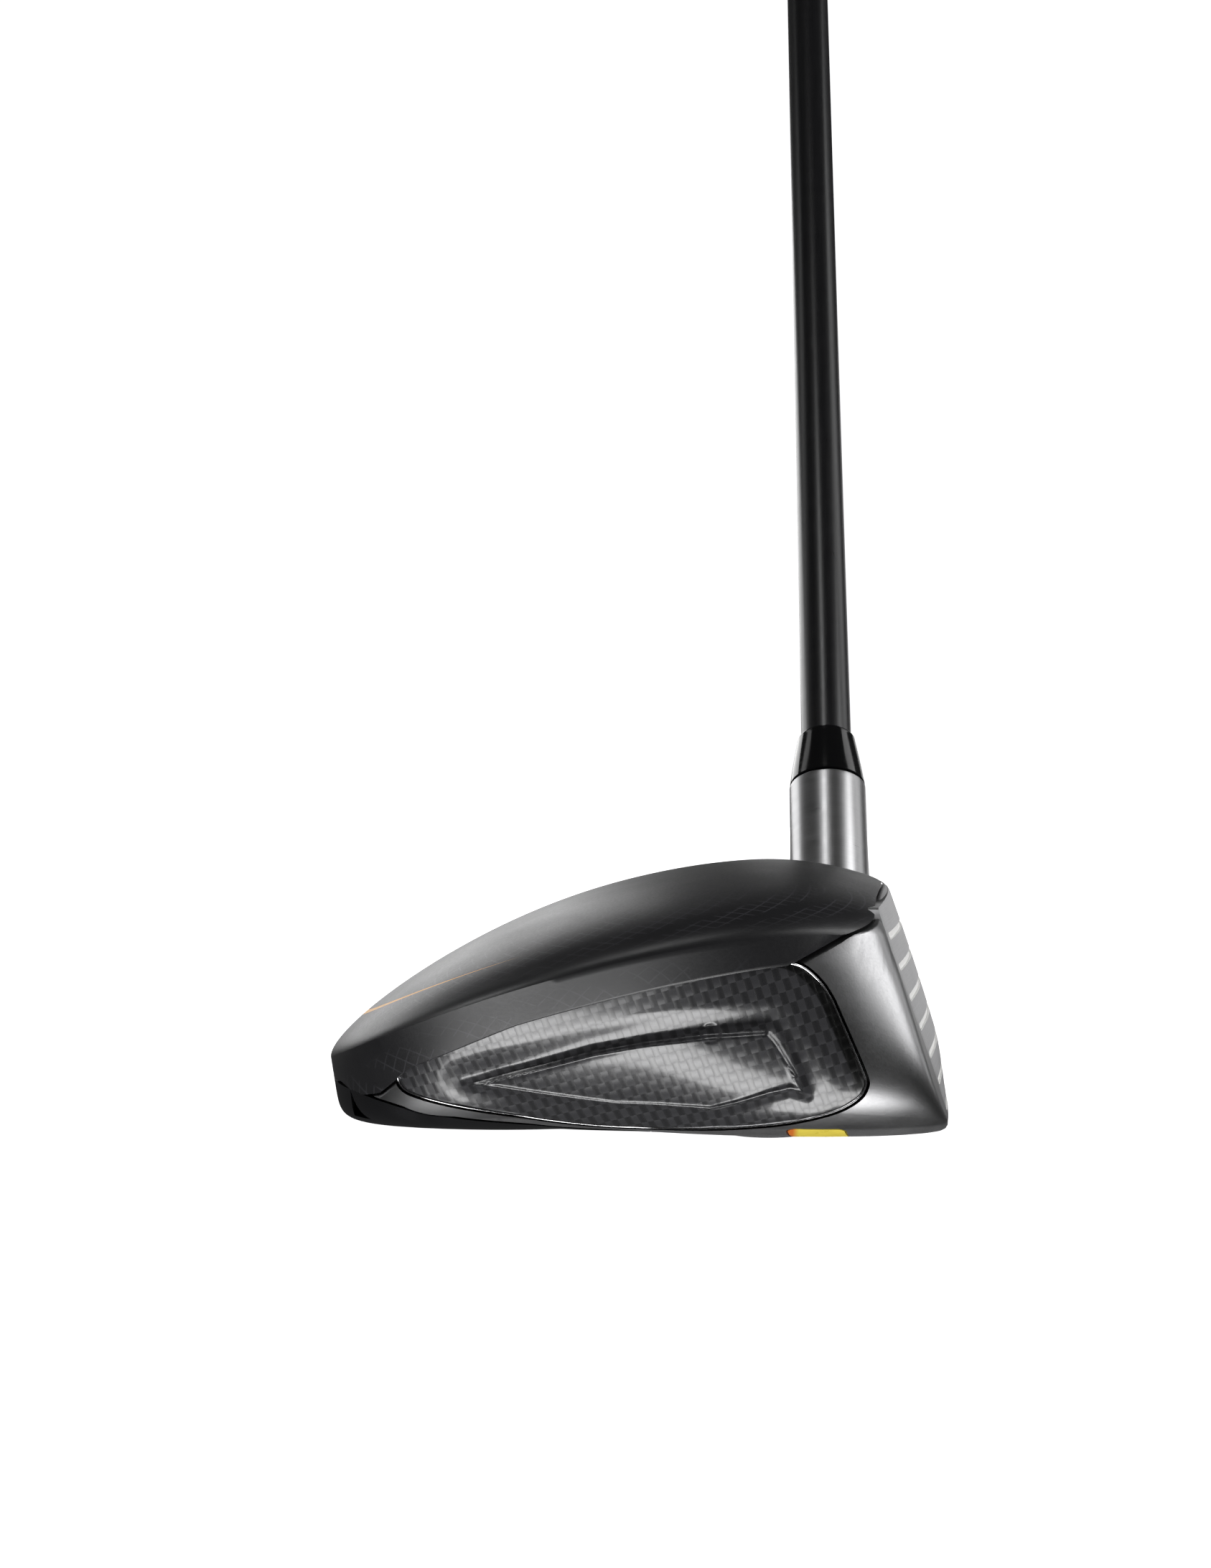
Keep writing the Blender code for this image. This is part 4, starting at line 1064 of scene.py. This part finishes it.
BADGE_FLOOR = 0.8
SWEEP_GLOW = 1.0
WORLD_LIGHT = 0.03
# Name, place, aim, width and height in metres, and power in watts.
LIGHTS = (
    ("back_left", (-0.9, 1.2, 0.4), (0.0, 0.0, 0.05), (1.6, 0.5), 6.5),
    ("right_box", (0.8, -0.2, 0.4), (0.0, 0.0, 0.05), (0.6, 0.7), 6.5),
    ("left_box", (-0.95, -0.6, 0.3), (0.0, 0.0, 0.05), (0.35, 0.5), 4.0),
    ("front_strip", (-0.22, -0.42, 0.9), (0.0, 0.0, 0.05), (0.12, 0.6), 1.6),
    ("far_right", (0.9, 0.5, 0.5), (0.0, 0.0, 0.3), (0.3, 1.2), 1.8),
    ("far_left", (-0.9, 0.5, 0.5), (0.0, 0.0, 0.3), (0.2, 1.2), 0.8),
    ("back_wall", (0.45, 1.8, 0.25), (0.0, 0.0, 0.03), (1.0, 0.8), 1.7),
    ("under_fill", (0.0, -0.3, -0.9), (0.0, 0.0, 0.0), (1.0, 0.4), 10.0),
)


def slab(name, size, centre):
    """Square block, from the outline of its base and its height."""
    wide, deep, high = (side / 2.0 for side in size)
    base = np.array([(-wide, -deep), (wide, -deep), (wide, deep), (-wide, deep)])
    return prism(name, base + centre[:2], centre[2] - high, centre[2] + high)


def prism(name, outline, low, high, swap=False):
    """Closed block over an outline, between two heights. With swap the outline is in X and Z."""
    middle = np.repeat(outline.mean(axis=0)[None], len(outline), axis=0)
    sheets = []
    for flat, height in ((middle, low), (outline, low), (outline, high), (middle, high)):
        level = np.full(len(flat), height)
        parts = (flat[:, 0], level, flat[:, 1]) if swap else (flat[:, 0], flat[:, 1], level)
        sheets.append(np.stack(parts, axis=-1))
    return grid_piece(name, np.stack(sheets))


def cartridge_block(name, grow):
    """Block under the cartridge's top line, taking in the rear of the sole."""
    top = [(x + grow, z + grow) for x, z in CARTRIDGE_TOP]
    front = CARTRIDGE_TOP[-1][0] + grow
    outline = np.array([*top, (front, -5.0), (CARTRIDGE_TOP[0][0], -5.0)])
    half = CARTRIDGE_HALF_WIDTH + grow
    return prism(name, outline, -half, half, swap=True)


def badge_block(name, grow, floor):
    """Upright block over the badge's outline, down from the height where its recess ends."""
    length, width = BADGE_LENGTH / 2.0, BADGE_WIDTH / 2.0
    corners = ((-width, -length), (width * 0.6, -length), (width, length), (-width * 0.6, length))
    outline = shrink_outline(rounded_outline(corners, [1.2] * 4, 8), -grow)
    block = prism(name, outline + [BADGE_X, BADGE_Y], -6.0, 14.0)
    return combine(block, [envelope("badge_floor", floor)])


# ---------------------------------------------------------------- what a user may change

def colour_property(name, description, code):
    return FloatVectorProperty(
        name=name, description=description, default=to_linear(code), subtype="COLOR", size=3, min=0.0, max=1.0
    )


class ClubSizes(bpy.types.PropertyGroup):
    stripe_width: FloatProperty(
        name="Stripe width", description="Widest part of the crown's stripe", default=0.0007, unit="LENGTH"
    )
    fibre_pitch: FloatProperty(
        name="Fibre pitch", description="Gap between the crown's faint fibres", default=0.0022, unit="LENGTH"
    )
    weave_pitch: FloatProperty(
        name="Weave pitch", description="Width of one tow in the side panels", default=0.0009, unit="LENGTH"
    )
    floor_size: FloatProperty(
        name="Floor size", description="Width of the studio floor", default=10.0, unit="LENGTH"
    )


class ClubColours(bpy.types.PropertyGroup):
    steel: colour_property("Cast steel", "Body casting", "#8a8a8b")
    bright_steel: colour_property("Bright steel", "Hosel, face and trim", "#a6a6a7")
    crown: colour_property("Crown", "Black composite of the crown", "#1b1b1d")
    stripe: colour_property("Stripe", "Thin stripe at the crown's rear", "#f0a810")
    panel: colour_property("Panel", "Woven side panels", "#2f2f31")
    black_metal: colour_property("Black metal", "Weights and screw", "#2a2a2c")
    badge: colour_property("Badge", "Front of the sole badge", "#fbe45a")
    badge_tail: colour_property("Badge tail", "Tail of the sole badge", "#e0782a")
    score: colour_property("Score lines", "Paint in the score lines", "#f4f4f2")
    ferrule: colour_property("Ferrule", "Black plastic ring", "#0b0b0c")
    shaft: colour_property("Shaft", "Lacquer of the shaft", "#101012")
    rubber: colour_property("Grip", "Rubber of the grip", "#1c1c1d")


# ---------------------------------------------------------------- operators

class CLUB_OT_body(bpy.types.Operator):
    """Body casting with its windows, weight port hole and cartridge seat cut out"""
    bl_idname = "club.body"
    bl_label = "Body casting"

    def execute(self, context):
        body = body_piece()
        port = turned_piece("port_room", [(0.0, 24.0), (9.6, 24.0), (9.6, -3.0), (0.0, -3.0)], 96, None, True,
                            (WEIGHT_X, WEIGHT_Y))
        cutters = [
            crown_grid("crown_room", 0.7 * LIP_DROP, CROWN_WALL + GAP, False),
            face_block("face_room", GAP, 8.0, -2.6),
            port,
            window_cutter(-1.0),
            window_cutter(1.0),
            cartridge_block("cartridge_room", GAP),
            badge_block("badge_room", 0.25, BADGE_FLOOR),
            slab("ground", (90.0, 24.0, 10.0), (-32.0, 0.0, -5.0)),
        ]
        combine(body, cutters)
        finish_piece(body, "head_body", "club", cast_steel(context.scene.club_colours))
        return {"FINISHED"}


class CLUB_OT_crown(bpy.types.Operator):
    """Crown shell with its stripe"""
    bl_idname = "club.crown"
    bl_label = "Crown"

    def execute(self, context):
        colours = context.scene.club_colours
        crown = crown_grid("crown_skin", 0.0, CROWN_WALL, True)
        combine(crown, [face_block("face_room", GAP, 8.0, -0.8)])
        points = places(crown)
        turn = np.arctan2(-np.abs(points[:, 1]), points[:, 0] - WIDEST_X)
        reach = outline_reach(turn, 0.0)
        out = np.clip(np.hypot(points[:, 1], points[:, 0] - WIDEST_X) / reach, 0.0, 1.0)
        level = np.where(out < 0.9999, np.arcsin(out) * 2.0 / pi - 1.0, 0.3)
        here = head_point(turn, np.full_like(turn, STRIPE_LEVEL))
        there = head_point(turn, np.full_like(turn, STRIPE_LEVEL + 0.01))
        store(crown, "stripe_mm", (level - STRIPE_LEVEL) * np.linalg.norm(there - here, axis=1) / 0.01)
        store(crown, "turn_mm", np.degrees(turn + pi / 2.0) * 0.8)
        finish_piece(crown, "crown_shell", "club", crown_lacquer(colours, context.scene.club_sizes))
        return {"FINISHED"}


class CLUB_OT_face(bpy.types.Operator):
    """Face insert with its painted score lines"""
    bl_idname = "club.face"
    bl_label = "Face"

    def execute(self, context):
        colours = context.scene.club_colours
        face = face_block("face_insert", 0.0, 0.0, -FACE_THICKNESS)
        lines = [score_cutter(z, *ends) for z, ends in zip(SCORE_HEIGHTS, SCORE_ENDS)]
        steel, paint = milled_face(colours), score_paint(colours)
        face.data.materials.append(steel)
        face.data.materials.append(paint)
        for line in lines:
            line.data.materials.append(steel)
            line.data.materials.append(paint)
            line.data.polygons.foreach_set("material_index", [1] * len(line.data.polygons))
        combine(face, lines)
        finish_piece(face, "face_plate", "club", None)
        return {"FINISHED"}


class CLUB_OT_panels(bpy.types.Operator):
    """Side panels and the bright wires round them"""
    bl_idname = "club.panels"
    bl_label = "Side panels"

    def execute(self, context):
        colours = context.scene.club_colours
        weave = woven_panel(colours, context.scene.club_sizes)
        bright = polished_trim(colours)
        for side, end in ((-1.0, "toe"), (1.0, "heel")):
            panel = panel_piece(end + "_inlay", side)
            finish_piece(panel, end + "_panel", "club", weave, 60.0)
            wire = wire_piece(end + "_wire", side)
            finish_piece(wire, end + "_trim", "club", bright)
        return {"FINISHED"}


class CLUB_OT_shaft(bpy.types.Operator):
    """Hosel, ferrule and shaft"""
    bl_idname = "club.shaft"
    bl_label = "Shaft and hosel"

    def execute(self, context):
        colours = context.scene.club_colours
        bore = SHAFT_TIP_RADIUS + GAP
        floor = HOSEL_START + HOSEL_FLOOR
        outer = [(HOSEL_RADIUS, station) for station in np.linspace(HOSEL_END - 0.3, HOSEL_START, 80)]
        rim = [(bore, floor), (bore, HOSEL_END), *arc((HOSEL_RADIUS - 0.3, HOSEL_END - 0.3), 0.3, 90.0, 10.0, 5)]
        hosel = turned_piece("hosel_tube", [(0.0, floor), *rim, *outer, (0.0, HOSEL_START)], 128, neck_flare)
        finish_piece(hosel, "hosel", "club", brushed_tube(colours))

        low, base, top = HOSEL_END + GAP, HOSEL_RADIUS - 0.1, FERRULE_END
        barrel = []
        for share in np.linspace(0.0, 1.0, 30):
            swell = 0.8 * share + 0.2 * sin(share * pi / 2.0)
            radius = FERRULE_TOP_RADIUS + 0.1 + (base - FERRULE_TOP_RADIUS - 0.1) * swell
            barrel.append((radius, top - 0.7 - (top - 0.7 - low - 0.2) * share))
        shoulder = arc((FERRULE_TOP_RADIUS - 0.6, top - 0.7), 0.7, 90.0, 5.0, 8)
        profile = [(bore, top), *shoulder, *barrel, (base - 0.15, low), (bore, low)]
        ferrule = turned_piece("ferrule_ring", profile, 128)
        finish_piece(ferrule, "ferrule", "club", gloss_plastic(colours))

        foot, end = floor + GAP, CLUB_LENGTH - GRIP_CAP_LENGTH
        stations = [foot, *np.linspace(FERRULE_END, end, 60)]
        profile = tube_profile(stations, shaft_radius, lambda s: shaft_radius(s) - SHAFT_WALL)
        shaft = turned_piece("shaft_tube", profile, 96)
        finish_piece(shaft, "shaft", "club", shaft_lacquer(colours))
        return {"FINISHED"}


class CLUB_OT_grip(bpy.types.Operator):
    """Rubber grip with crossed grooves, and its cap"""
    bl_idname = "club.grip"
    bl_label = "Grip"

    def execute(self, context):
        rubber = grip_rubber(context.scene.club_colours)
        mouth, top = CLUB_LENGTH - GRIP_LENGTH, CLUB_LENGTH - GRIP_CAP_LENGTH
        stations = np.linspace(mouth + 0.5, top, 320)
        lip = [(grip_bore(mouth), mouth), (GRIP_MOUTH_RADIUS - 0.5, mouth)]
        outer = [(grip_radius(s), s) for s in stations]
        bore = [(grip_bore(s), s) for s in np.linspace(top, mouth + 1.0, 12)]
        grip = turned_piece("grip_sleeve", [*lip, *outer, *bore], 216, grip_cuts)
        finish_piece(grip, "grip", "club", rubber, 60.0)

        low, radius = top + GAP, GRIP_BUTT_RADIUS
        corner = arc((radius - 1.5, CLUB_LENGTH - 1.5), 1.5, 90.0, 0.0, 10)
        vent = [(0.0, CLUB_LENGTH - 1.2), (1.0, CLUB_LENGTH - 1.2), (1.0, CLUB_LENGTH - 0.15), (1.15, CLUB_LENGTH)]
        ring = [(6.8, CLUB_LENGTH), (7.0, CLUB_LENGTH - 0.3), (7.8, CLUB_LENGTH - 0.3), (8.0, CLUB_LENGTH)]
        profile = [*vent, *ring, *corner, (radius, low + 2.2), (radius - 0.3, low + 1.9), (radius - 0.3, low + 1.2),
                   (radius, low + 0.9), (radius, low), (0.0, low)]
        cap = turned_piece("grip_end", profile, 128)
        finish_piece(cap, "grip_cap", "club", rubber)
        return {"FINISHED"}


class CLUB_OT_sole(bpy.types.Operator):
    """Rear cartridge, sole badge, weight port, sole weight and its screw"""
    bl_idname = "club.sole"
    bl_label = "Sole pieces"

    def execute(self, context):
        colours = context.scene.club_colours
        centre = (WEIGHT_X, WEIGHT_Y)
        cartridge = cartridge_block("rear_cap", 0.0)
        length = REAR_REACH - 2.0 * CARTRIDGE_WALL
        size = (length, 2.0 * (CARTRIDGE_HALF_WIDTH - 2.0 * CARTRIDGE_WALL), 20.0)
        place = (WIDEST_X - REAR_REACH + 2.0 * CARTRIDGE_WALL + length / 2.0, 0.0, CARTRIDGE_WALL + 10.0)
        combine(cartridge, [slab("pocket", size, place), slab("ground", (90.0, 24.0, 10.0), (-32.0, 0.0, -5.0))])
        combine(cartridge, [envelope("skin")], "INTERSECT")
        coating = black_metal(colours, "Black coated dense metal", 0.16, 0.28)
        finish_piece(cartridge, "rear_weight", "club", coating)

        badge = badge_block("badge_plate", 0.0, BADGE_FLOOR)
        combine(badge, [envelope("skin")], "INTERSECT")
        combine(badge, [envelope("under", BADGE_WALL)])
        finish_piece(badge, "sole_badge", "club", enamel(colours))

        roof, pocket = WEIGHT_FACE_Z + WEIGHT_HEIGHT + GAP, WEIGHT_RADIUS + GAP
        bore = SCREW_RADIUS + GAP
        boss = bore + PORT_WALL
        tip = WEIGHT_FACE_Z + SCREW_HEAD_INSET + SCREW_HEAD_HEIGHT + SCREW_LENGTH + GAP
        profile = [
            (0.0, tip + PORT_WALL), (boss, tip + PORT_WALL), (boss, roof + PORT_WALL),
            (pocket + PORT_WALL, roof + PORT_WALL), (pocket + PORT_WALL, -1.0), (pocket, -1.0),
            (pocket, roof), (bore, roof), (bore, tip), (0.0, tip),
        ]
        port = turned_piece("port_cup", profile, 128, None, True, centre)
        combine(port, [envelope("skin")], "INTERSECT")
        combine(port, [slab("ground", (90.0, 24.0, 10.0), (-32.0, 0.0, -5.0))])
        finish_piece(port, "weight_port", "club", cast_steel(colours))

        low = WEIGHT_FACE_Z
        head_low = low + SCREW_HEAD_INSET
        head_top = head_low + SCREW_HEAD_HEIGHT
        seat = SCREW_HEAD_RADIUS + GAP
        profile = [
            (bore, low + WEIGHT_HEIGHT), (WEIGHT_RADIUS, low + WEIGHT_HEIGHT),
            *arc((WEIGHT_RADIUS - 0.3, low + 0.3), 0.3, 0.0, -90.0, 5),
            (WEIGHT_RADIUS - 1.1, low), (WEIGHT_RADIUS - 1.2, low + 0.12), (WEIGHT_RADIUS - 1.5, low + 0.12),
            (WEIGHT_RADIUS - 1.6, low), (seat + 0.15, low), (seat, low + 0.15),
            (seat, head_top + GAP), (bore, head_top + GAP),
        ]
        coated = black_metal(colours, "Black coated steel", 0.24, 0.4)
        weight = turned_piece("sole_puck", profile, 128, None, True, centre)
        finish_piece(weight, "sole_weight", "sole_weight", coated)

        tip = head_top + SCREW_LENGTH
        thread = [(SCREW_RADIUS, tip - 0.5)]
        for station in np.arange(tip - 0.9, head_top + 1.6, -0.4):
            thread.append((SCREW_RADIUS - (0.25 if len(thread) % 2 else 0.0), station))
        profile = [
            (0.0, tip), (SCREW_RADIUS - 0.5, tip), *thread, (SCREW_RADIUS, head_top), (SCREW_HEAD_RADIUS, head_top),
            *arc((SCREW_HEAD_RADIUS - 0.3, head_low + 0.3), 0.3, 0.0, -90.0, 5),
            (SOCKET_RADIUS + 0.2, head_low), (SOCKET_RADIUS, head_low + 0.15),
            (SOCKET_RADIUS, head_low + SOCKET_DEPTH), (0.0, head_low + SOCKET_DEPTH),
        ]
        screw = turned_piece("screw", profile, 96, star_socket, True, centre)
        finish_piece(screw, "weight_screw", "weight_screw", coated)
        return {"FINISHED"}


class CLUB_OT_inner(bpy.types.Operator):
    """Finishes of the pieces that stay inside the club"""
    bl_idname = "club.inner"
    bl_label = "Inner pieces"

    def execute(self, context):
        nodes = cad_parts
        steel = cast_steel(context.scene.club_colours)
        finishes = {
            "toe_brace": steel,
            "heel_brace": steel,
            "tip_weight": plain_inner("Plain turned metal", to_linear("#a9a9ad"), 1.0, 0.4, 0.3, 0.5),
            "grip_tape": plain_inner("Wound paper tape", to_linear("#cbc6b4"), 0.0, 0.8, 0.8, 0.95),
        }
        for node, material in finishes.items():
            nodes[node].data.materials.clear()
            nodes[node].data.materials.append(material)
        return {"FINISHED"}


class CLUB_OT_stage(bpy.types.Operator):
    """Pale floor and backdrop, soft lights and the camera"""
    bl_idname = "club.stage"
    bl_label = "Stage"

    def execute(self, context):
        reach = context.scene.club_sizes.floor_size / 2.0 / MM
        bend = arc((reach - 600.0, 599.98), 600.0, -90.0, 0.0, 24)
        profile = [(0.0, -0.02), *bend, (reach, reach)]
        sweep = turned_piece("studio_bowl", profile, 96, None, True)
        sweep.data.shade_smooth()
        material, tree, shader, place = new_material("Matte white paper")
        fibre = noise(tree, stretch(tree, place, (1.5, 1.5, 1.5)), 3.0)
        set_shader(tree, shader, {
            "Base Color": blend(tree, fibre, (0.86, 0.86, 0.86, 1.0), (0.9, 0.9, 0.9, 1.0)),
            "Roughness": 0.9,
            "Emission Color": (1.0, 1.0, 1.0, 1.0),
            "Emission Strength": SWEEP_GLOW,
        })
        sweep.data.materials.append(material)
        sweep.visible_glossy = False
        sweep.visible_diffuse = False
        sweep.visible_shadow = False

        world = bpy.data.worlds.new("Studio")
        world.use_nodes = True
        world.node_tree.nodes["Background"].inputs["Color"].default_value = (1.0, 1.0, 1.0, 1.0)
        world.node_tree.nodes["Background"].inputs["Strength"].default_value = WORLD_LIGHT
        context.scene.world = world
        for name, place, aim, (wide, tall), power in LIGHTS:
            light = bpy.data.lights.new(name, "AREA")
            light.shape = "RECTANGLE"
            light.size, light.size_y = wide, tall
            light.energy = power
            lamp = bpy.data.objects.new(name, light)
            lamp.location = place
            lamp.rotation_euler = (Vector(aim) - Vector(place)).to_track_quat("-Z", "Y").to_euler()
            context.scene.collection.objects.link(lamp)

        data = bpy.data.cameras.new("camera")
        data.sensor_fit = "VERTICAL"
        data.sensor_height = 36.0
        data.lens = 45.94
        camera = bpy.data.objects.new("camera", data)
        camera.location = (-0.01389, -0.2919, 0.048)
        camera.rotation_euler = (radians(90.0), 0.0, radians(4.07))
        context.scene.collection.objects.link(camera)
        context.scene.camera = camera
        context.scene.view_settings.view_transform = "Standard"
        return {"FINISHED"}


class CLUB_PT_panel(bpy.types.Panel):
    """Sizes, colours and the steps of the club"""
    bl_idname = "CLUB_PT_panel"
    bl_label = "Fairway wood"
    bl_space_type = "VIEW_3D"
    bl_region_type = "UI"
    bl_category = "Club"

    def draw(self, context):
        for group in (context.scene.club_sizes, context.scene.club_colours):
            for name in group.bl_rna.properties.keys():
                if name not in ("rna_type", "name"):
                    self.layout.prop(group, name)
        for operator in OPERATORS:
            self.layout.operator(operator.bl_idname)


OPERATORS = (
    CLUB_OT_body, CLUB_OT_crown, CLUB_OT_face, CLUB_OT_panels, CLUB_OT_shaft, CLUB_OT_grip,
    CLUB_OT_sole, CLUB_OT_inner, CLUB_OT_stage,
)
CLASSES = (ClubSizes, ClubColours, *OPERATORS, CLUB_PT_panel)


def register():
    for item in CLASSES:
        bpy.utils.register_class(item)
    bpy.types.Scene.club_sizes = PointerProperty(type=ClubSizes)
    bpy.types.Scene.club_colours = PointerProperty(type=ClubColours)


def unregister():
    del bpy.types.Scene.club_colours
    del bpy.types.Scene.club_sizes
    for item in reversed(CLASSES):
        bpy.utils.unregister_class(item)


def main():
    register()
    bpy.ops.club.body()
    bpy.ops.club.crown()
    bpy.ops.club.face()
    bpy.ops.club.panels()
    bpy.ops.club.shaft()
    bpy.ops.club.grip()
    bpy.ops.club.sole()
    bpy.ops.club.inner()
    bpy.ops.club.stage()


if __name__ == "__main__":
    main()
